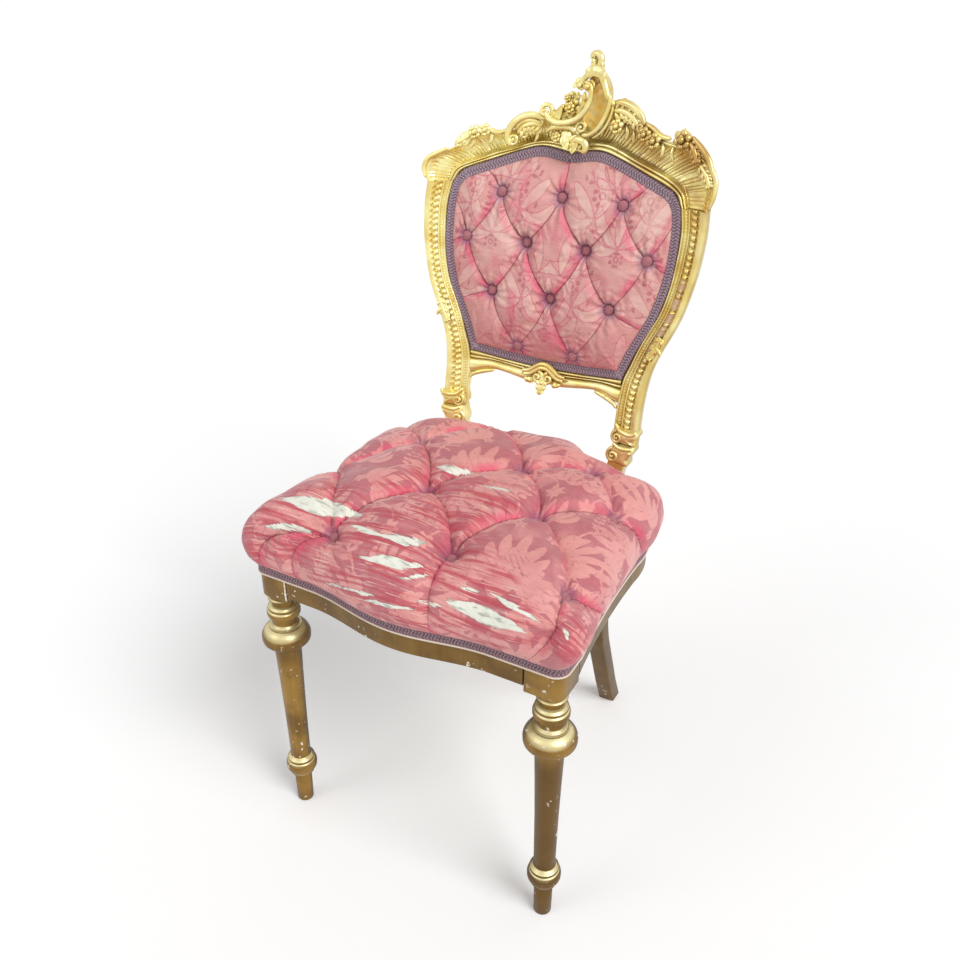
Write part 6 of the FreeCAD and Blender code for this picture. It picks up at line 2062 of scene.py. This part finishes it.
@dataclass
class LowerRail:
    """The reeded rail under the panel, with a shell and drop in its middle."""

    upper: tuple = ((0.1076, 0.5578), (0.0564, 0.5522), (0.0, 0.549))
    lower: tuple = ((0.1076, 0.5262), (0.1, 0.5275), (0.0736, 0.5345), (0.025, 0.5276), (0.0, 0.528))
    section: tuple = ((0.0, 0.0095), (0.0, 0.0055), (0.05, 0.003), (0.11, 0.0026), (0.17, 0.0042),
                      (0.2, 0.0078), (0.24, 0.005), (0.29, 0.0042), (0.34, 0.0055), (0.37, 0.0088),
                      (0.43, 0.0052), (0.55, 0.003), (0.68, 0.0024), (0.8, 0.003), (0.9, 0.0046),
                      (0.97, 0.0072), (1.0, 0.011), (0.98, 0.024))
    rebate: float = 0.009
    thickness: float = 0.024
    steps: int = 260
    flare: tuple = (
        (scroll, ((106.2, 521.5), (101.2, 526.2), (94, 529.6), (84, 532.8), (72, 535.2)), 3.1, 1.6, -4),
    )
    hump: tuple = (((31, 544.8), (21.5, 546.2), (13.5, 551.2), (6.2, 555.6), (0, 556.8)),
                   ((29, 540.2), (19.5, 541.8), (12.8, 546), (6.2, 550.6), (0, 551.8)))
    curls: tuple = ((volute, (7.2, 539.2), 7.2, 90, 1.6, 2.9, 5, 1),
                    (leaf, ((13, 534), (19, 533), (26, 535.2)), 4.2, 2, 0, 2))
    drop: tuple = ((leaf, ((0, 536), (0, 529), (0, 518.5)), 7.5, 3, 3, 3), (berry, (0, 533.5), 3.2, 5))

    def rail(self) -> Piece:
        """Sweep the reeds from stile to stile."""
        high, low = (even_path(whole(smooth_path(half, 140)), self.steps)
                     for half in (self.upper, self.lower))
        share, deep = smooth_path(self.section, 66).T
        return moulded("reeds", high, low, share, -deep, high + (0.0, self.rebate), self.thickness)

    def build(self, gold: Material) -> None:
        """Model and dress the rail and its drop."""
        parts = [self.rail()]
        ornament = []
        for side in Side:
            parts += carved(self.flare, side)
            ornament += carved(self.curls, side)
        parts += [scroll(whole(np.array(half)), 3.1, 2.2, 2.5) for half in self.hump]
        ornament += carved(self.drop)
        rail = join(parts, "reeded_lower_rail")
        smooth(rail, 55)
        finish(rail, Slot.GILT, gold, "lower_back_rail")
        drop = join(ornament, "shell_drop")
        smooth(drop, 60)
        finish(drop, Slot.GILT, gold, "lower_rail_drop")


@dataclass
class Foundation:
    """Webbing, springs and canvas inside the seat and the back, and the outside cover."""

    canvas_inset: float = 0.008
    canvas_level: float = 0.4122
    canvas_thickness: float = 0.00096
    canvas_dip: float = 0.0006
    drawing_shift: tuple[float, float] = (0.0, 0.05)

    def spring_canvas(self, jute: Material) -> None:
        """Stretch the canvas over the springs."""
        loop = SEAT.outline(240, -self.canvas_inset)
        shares = np.concatenate([np.linspace(0, 1, 5), np.linspace(1, 0, 5)])
        dip = self.canvas_dip * (1 - shares ** 2) * np.cos(3 * shares)
        level = self.canvas_level + np.repeat((0, self.canvas_thickness), 5) - dip
        places = raised(drawn_in(loop, SEAT.middle, shares), level[:, None])
        canvas = draped_grid("hessian_over_springs", SeatCushion().notch(places))
        smooth(canvas, 40)
        finish(canvas, Slot.JUTE, jute, "spring_canvas")

    def back_sheet(self, name: str, inset: float, proud: float, thickness: float, rings: int) -> Piece:
        """Stretch a thin sheet over the panel at a depth, its rear face as fine as its rings."""
        loop = PANEL.outline(400, -inset)
        shares = np.concatenate([np.linspace(0, 1, 8), np.linspace(1, 0, rings)])
        depth = np.concatenate([np.full(8, proud), np.full(rings, proud - thickness)])
        plan = drawn_in(loop, PANEL.middle, shares)
        drawn = BACK_DRAWING.draw(plan + self.drawing_shift)
        sheet = draped_grid(name, SURFACE.lift(raised(plan, depth[:, None])), drawn, plan)
        smooth(sheet, 40)
        return sheet

    def build(self, webbing: Material, canvas: Material, steel: Material, cloth: Material) -> None:
        """Model and dress the foundation."""
        for node in ("seat_webbing_crosswise", "seat_webbing_lengthwise", "back_webbing_upright",
                     "back_webbing_level"):
            finish(node_copy(node, f"jute_{node}"), Slot.JUTE, webbing, node)
        finish(node_copy("seat_springs", "coil_springs"), Slot.STEEL, steel, "seat_springs")
        self.spring_canvas(canvas)
        hessian = self.back_sheet("hessian_in_back", inset=0.0012, proud=-0.0056, thickness=0.001, rings=8)
        finish(hessian, Slot.JUTE, canvas, "back_canvas")
        cover = self.back_sheet("outside_back_cloth", inset=0.0045, proud=-0.0261, thickness=0.0011,
                                rings=110)
        finish(cover, Slot.DAMASK, cloth, "outside_back_cover")


@dataclass
class Studio:
    """A plain pale floor, soft light and a white background."""

    floor_half: float = 40.0
    floor_glow: float = 0.085
    sky: float = 0.46
    floor_hues: tuple[str, str] = ("FBFBFB", "FDFDFD")
    key: tuple = (1.95, 34.0, (72, 44))
    fill: tuple = (0.35, 30, (-35, 40))

    def floor(self) -> None:
        """Lay the floor."""
        deselect()
        bpy.ops.mesh.primitive_plane_add(size=2 * self.floor_half)
        floor = bpy.context.object
        floor.name = "studio_floor"
        s = Shader("studio_floor")
        colour = s.mix(s.noise(s.place(), 3.0), *(hue(code) for code in self.floor_hues))
        floor.data.materials.append(s.set(Base_Color=colour, Roughness=0.9, Specular_IOR_Level=0.0,
                                          Emission_Color=(1, 1, 1, 1), Emission_Strength=self.floor_glow))

    def world(self) -> None:
        """Set the sky: soft light on the object, white where it is seen or mirrored."""
        world = bpy.data.worlds.new("studio")
        bpy.context.scene.world = world
        world.use_nodes = True
        sky = Nodes(world.node_tree)
        path = sky.node("ShaderNodeLightPath").outputs
        seen = sky.most(sky.most(path["Is Camera Ray"], path["Is Glossy Ray"]), path["Is Transmission Ray"])
        background = sky.tree.nodes["Background"].inputs
        sky.plug(background["Color"], (1, 1, 1, 1))
        sky.plug(background["Strength"], sky.blend(seen, self.sky, 1.0))

    def lamp(self, name: str, power: float, spread: float, aim: tuple[float, float]) -> None:
        """Hang a soft sun that shines from an azimuth and a height, in degrees."""
        data = bpy.data.lights.new(name, "SUN")
        data.energy = power
        data.angle = math.radians(spread)
        lamp = bpy.data.objects.new(name, data)
        turn, rise = (math.radians(angle) for angle in aim)
        source = Vector((math.sin(turn) * math.cos(rise), -math.cos(turn) * math.cos(rise), math.sin(rise)))
        lamp.rotation_euler = source.to_track_quat("Z", "Y").to_euler()
        bpy.context.collection.objects.link(lamp)

    def build(self) -> None:
        """Set up the floor, the sky, the lamps and the camera."""
        self.floor()
        self.world()
        self.lamp("key_lamp", *self.key)
        self.lamp("fill_lamp", *self.fill)
        CAMERA.add()
        bpy.context.scene.view_settings.view_transform = "Standard"


def main() -> None:
    """Build the chair piece by piece and set up the studio."""
    logging.basicConfig(level=logging.INFO, format="%(message)s")
    gold, paint = GoldLeaf().material(), BronzePaint().material()
    beech, steel = BareBeech().material(), BlackSteel().material()
    webbing = Jute("jute_webbing", pale="C7A873", dark="8A6A3C", threads=90.0, striped=True).material()
    canvas = Jute("hessian", pale="BFA376", dark="8F7448", threads=150.0, striped=False).material()
    seat_braid = GimpBraid("seat_gimp_braid", pale="9A7880", dark="3A2130", fleck="D9B3A8").material()
    back_braid = GimpBraid("back_gimp_braid", pale="B29CA6", dark="62485A", fleck="CDBBBE").material()
    cord = CreamCord().material()
    seat_cloth = Damask("seat_damask").material()
    back_cloth = Damask("back_damask", figure="BE646F", ground="DFA19B", line="D4637F", fold="DE5577",
                        shade="9C7090", shred="C4616C", light="F0CCBE", figure_strength=0.78,
                        deep_below=0.65, flush=0.45).material()
    button_cloth = Damask("button_damask", figure="DC8F98", ground="C9747F", line="B0606E", fold="D0506F",
                          shade="8E5A78", shred="C06070", light="E8A4A4").material()
    FrontLegs().build(paint)
    SeatFrame().build(paint, beech, steel)
    BackPosts().build(gold, paint)
    CrestRail().build(gold)
    CrestCarving().build(gold)
    LowerRail().build(gold)
    Foundation().build(webbing, canvas, steel, back_cloth)
    SeatCushion().build(seat_cloth, button_cloth)
    BackPad().build(back_cloth, button_cloth)
    Braid().round_seat(seat_braid, cord)
    Braid().round_back(back_braid)
    Studio().build()


if __name__ == "__main__":
    main()
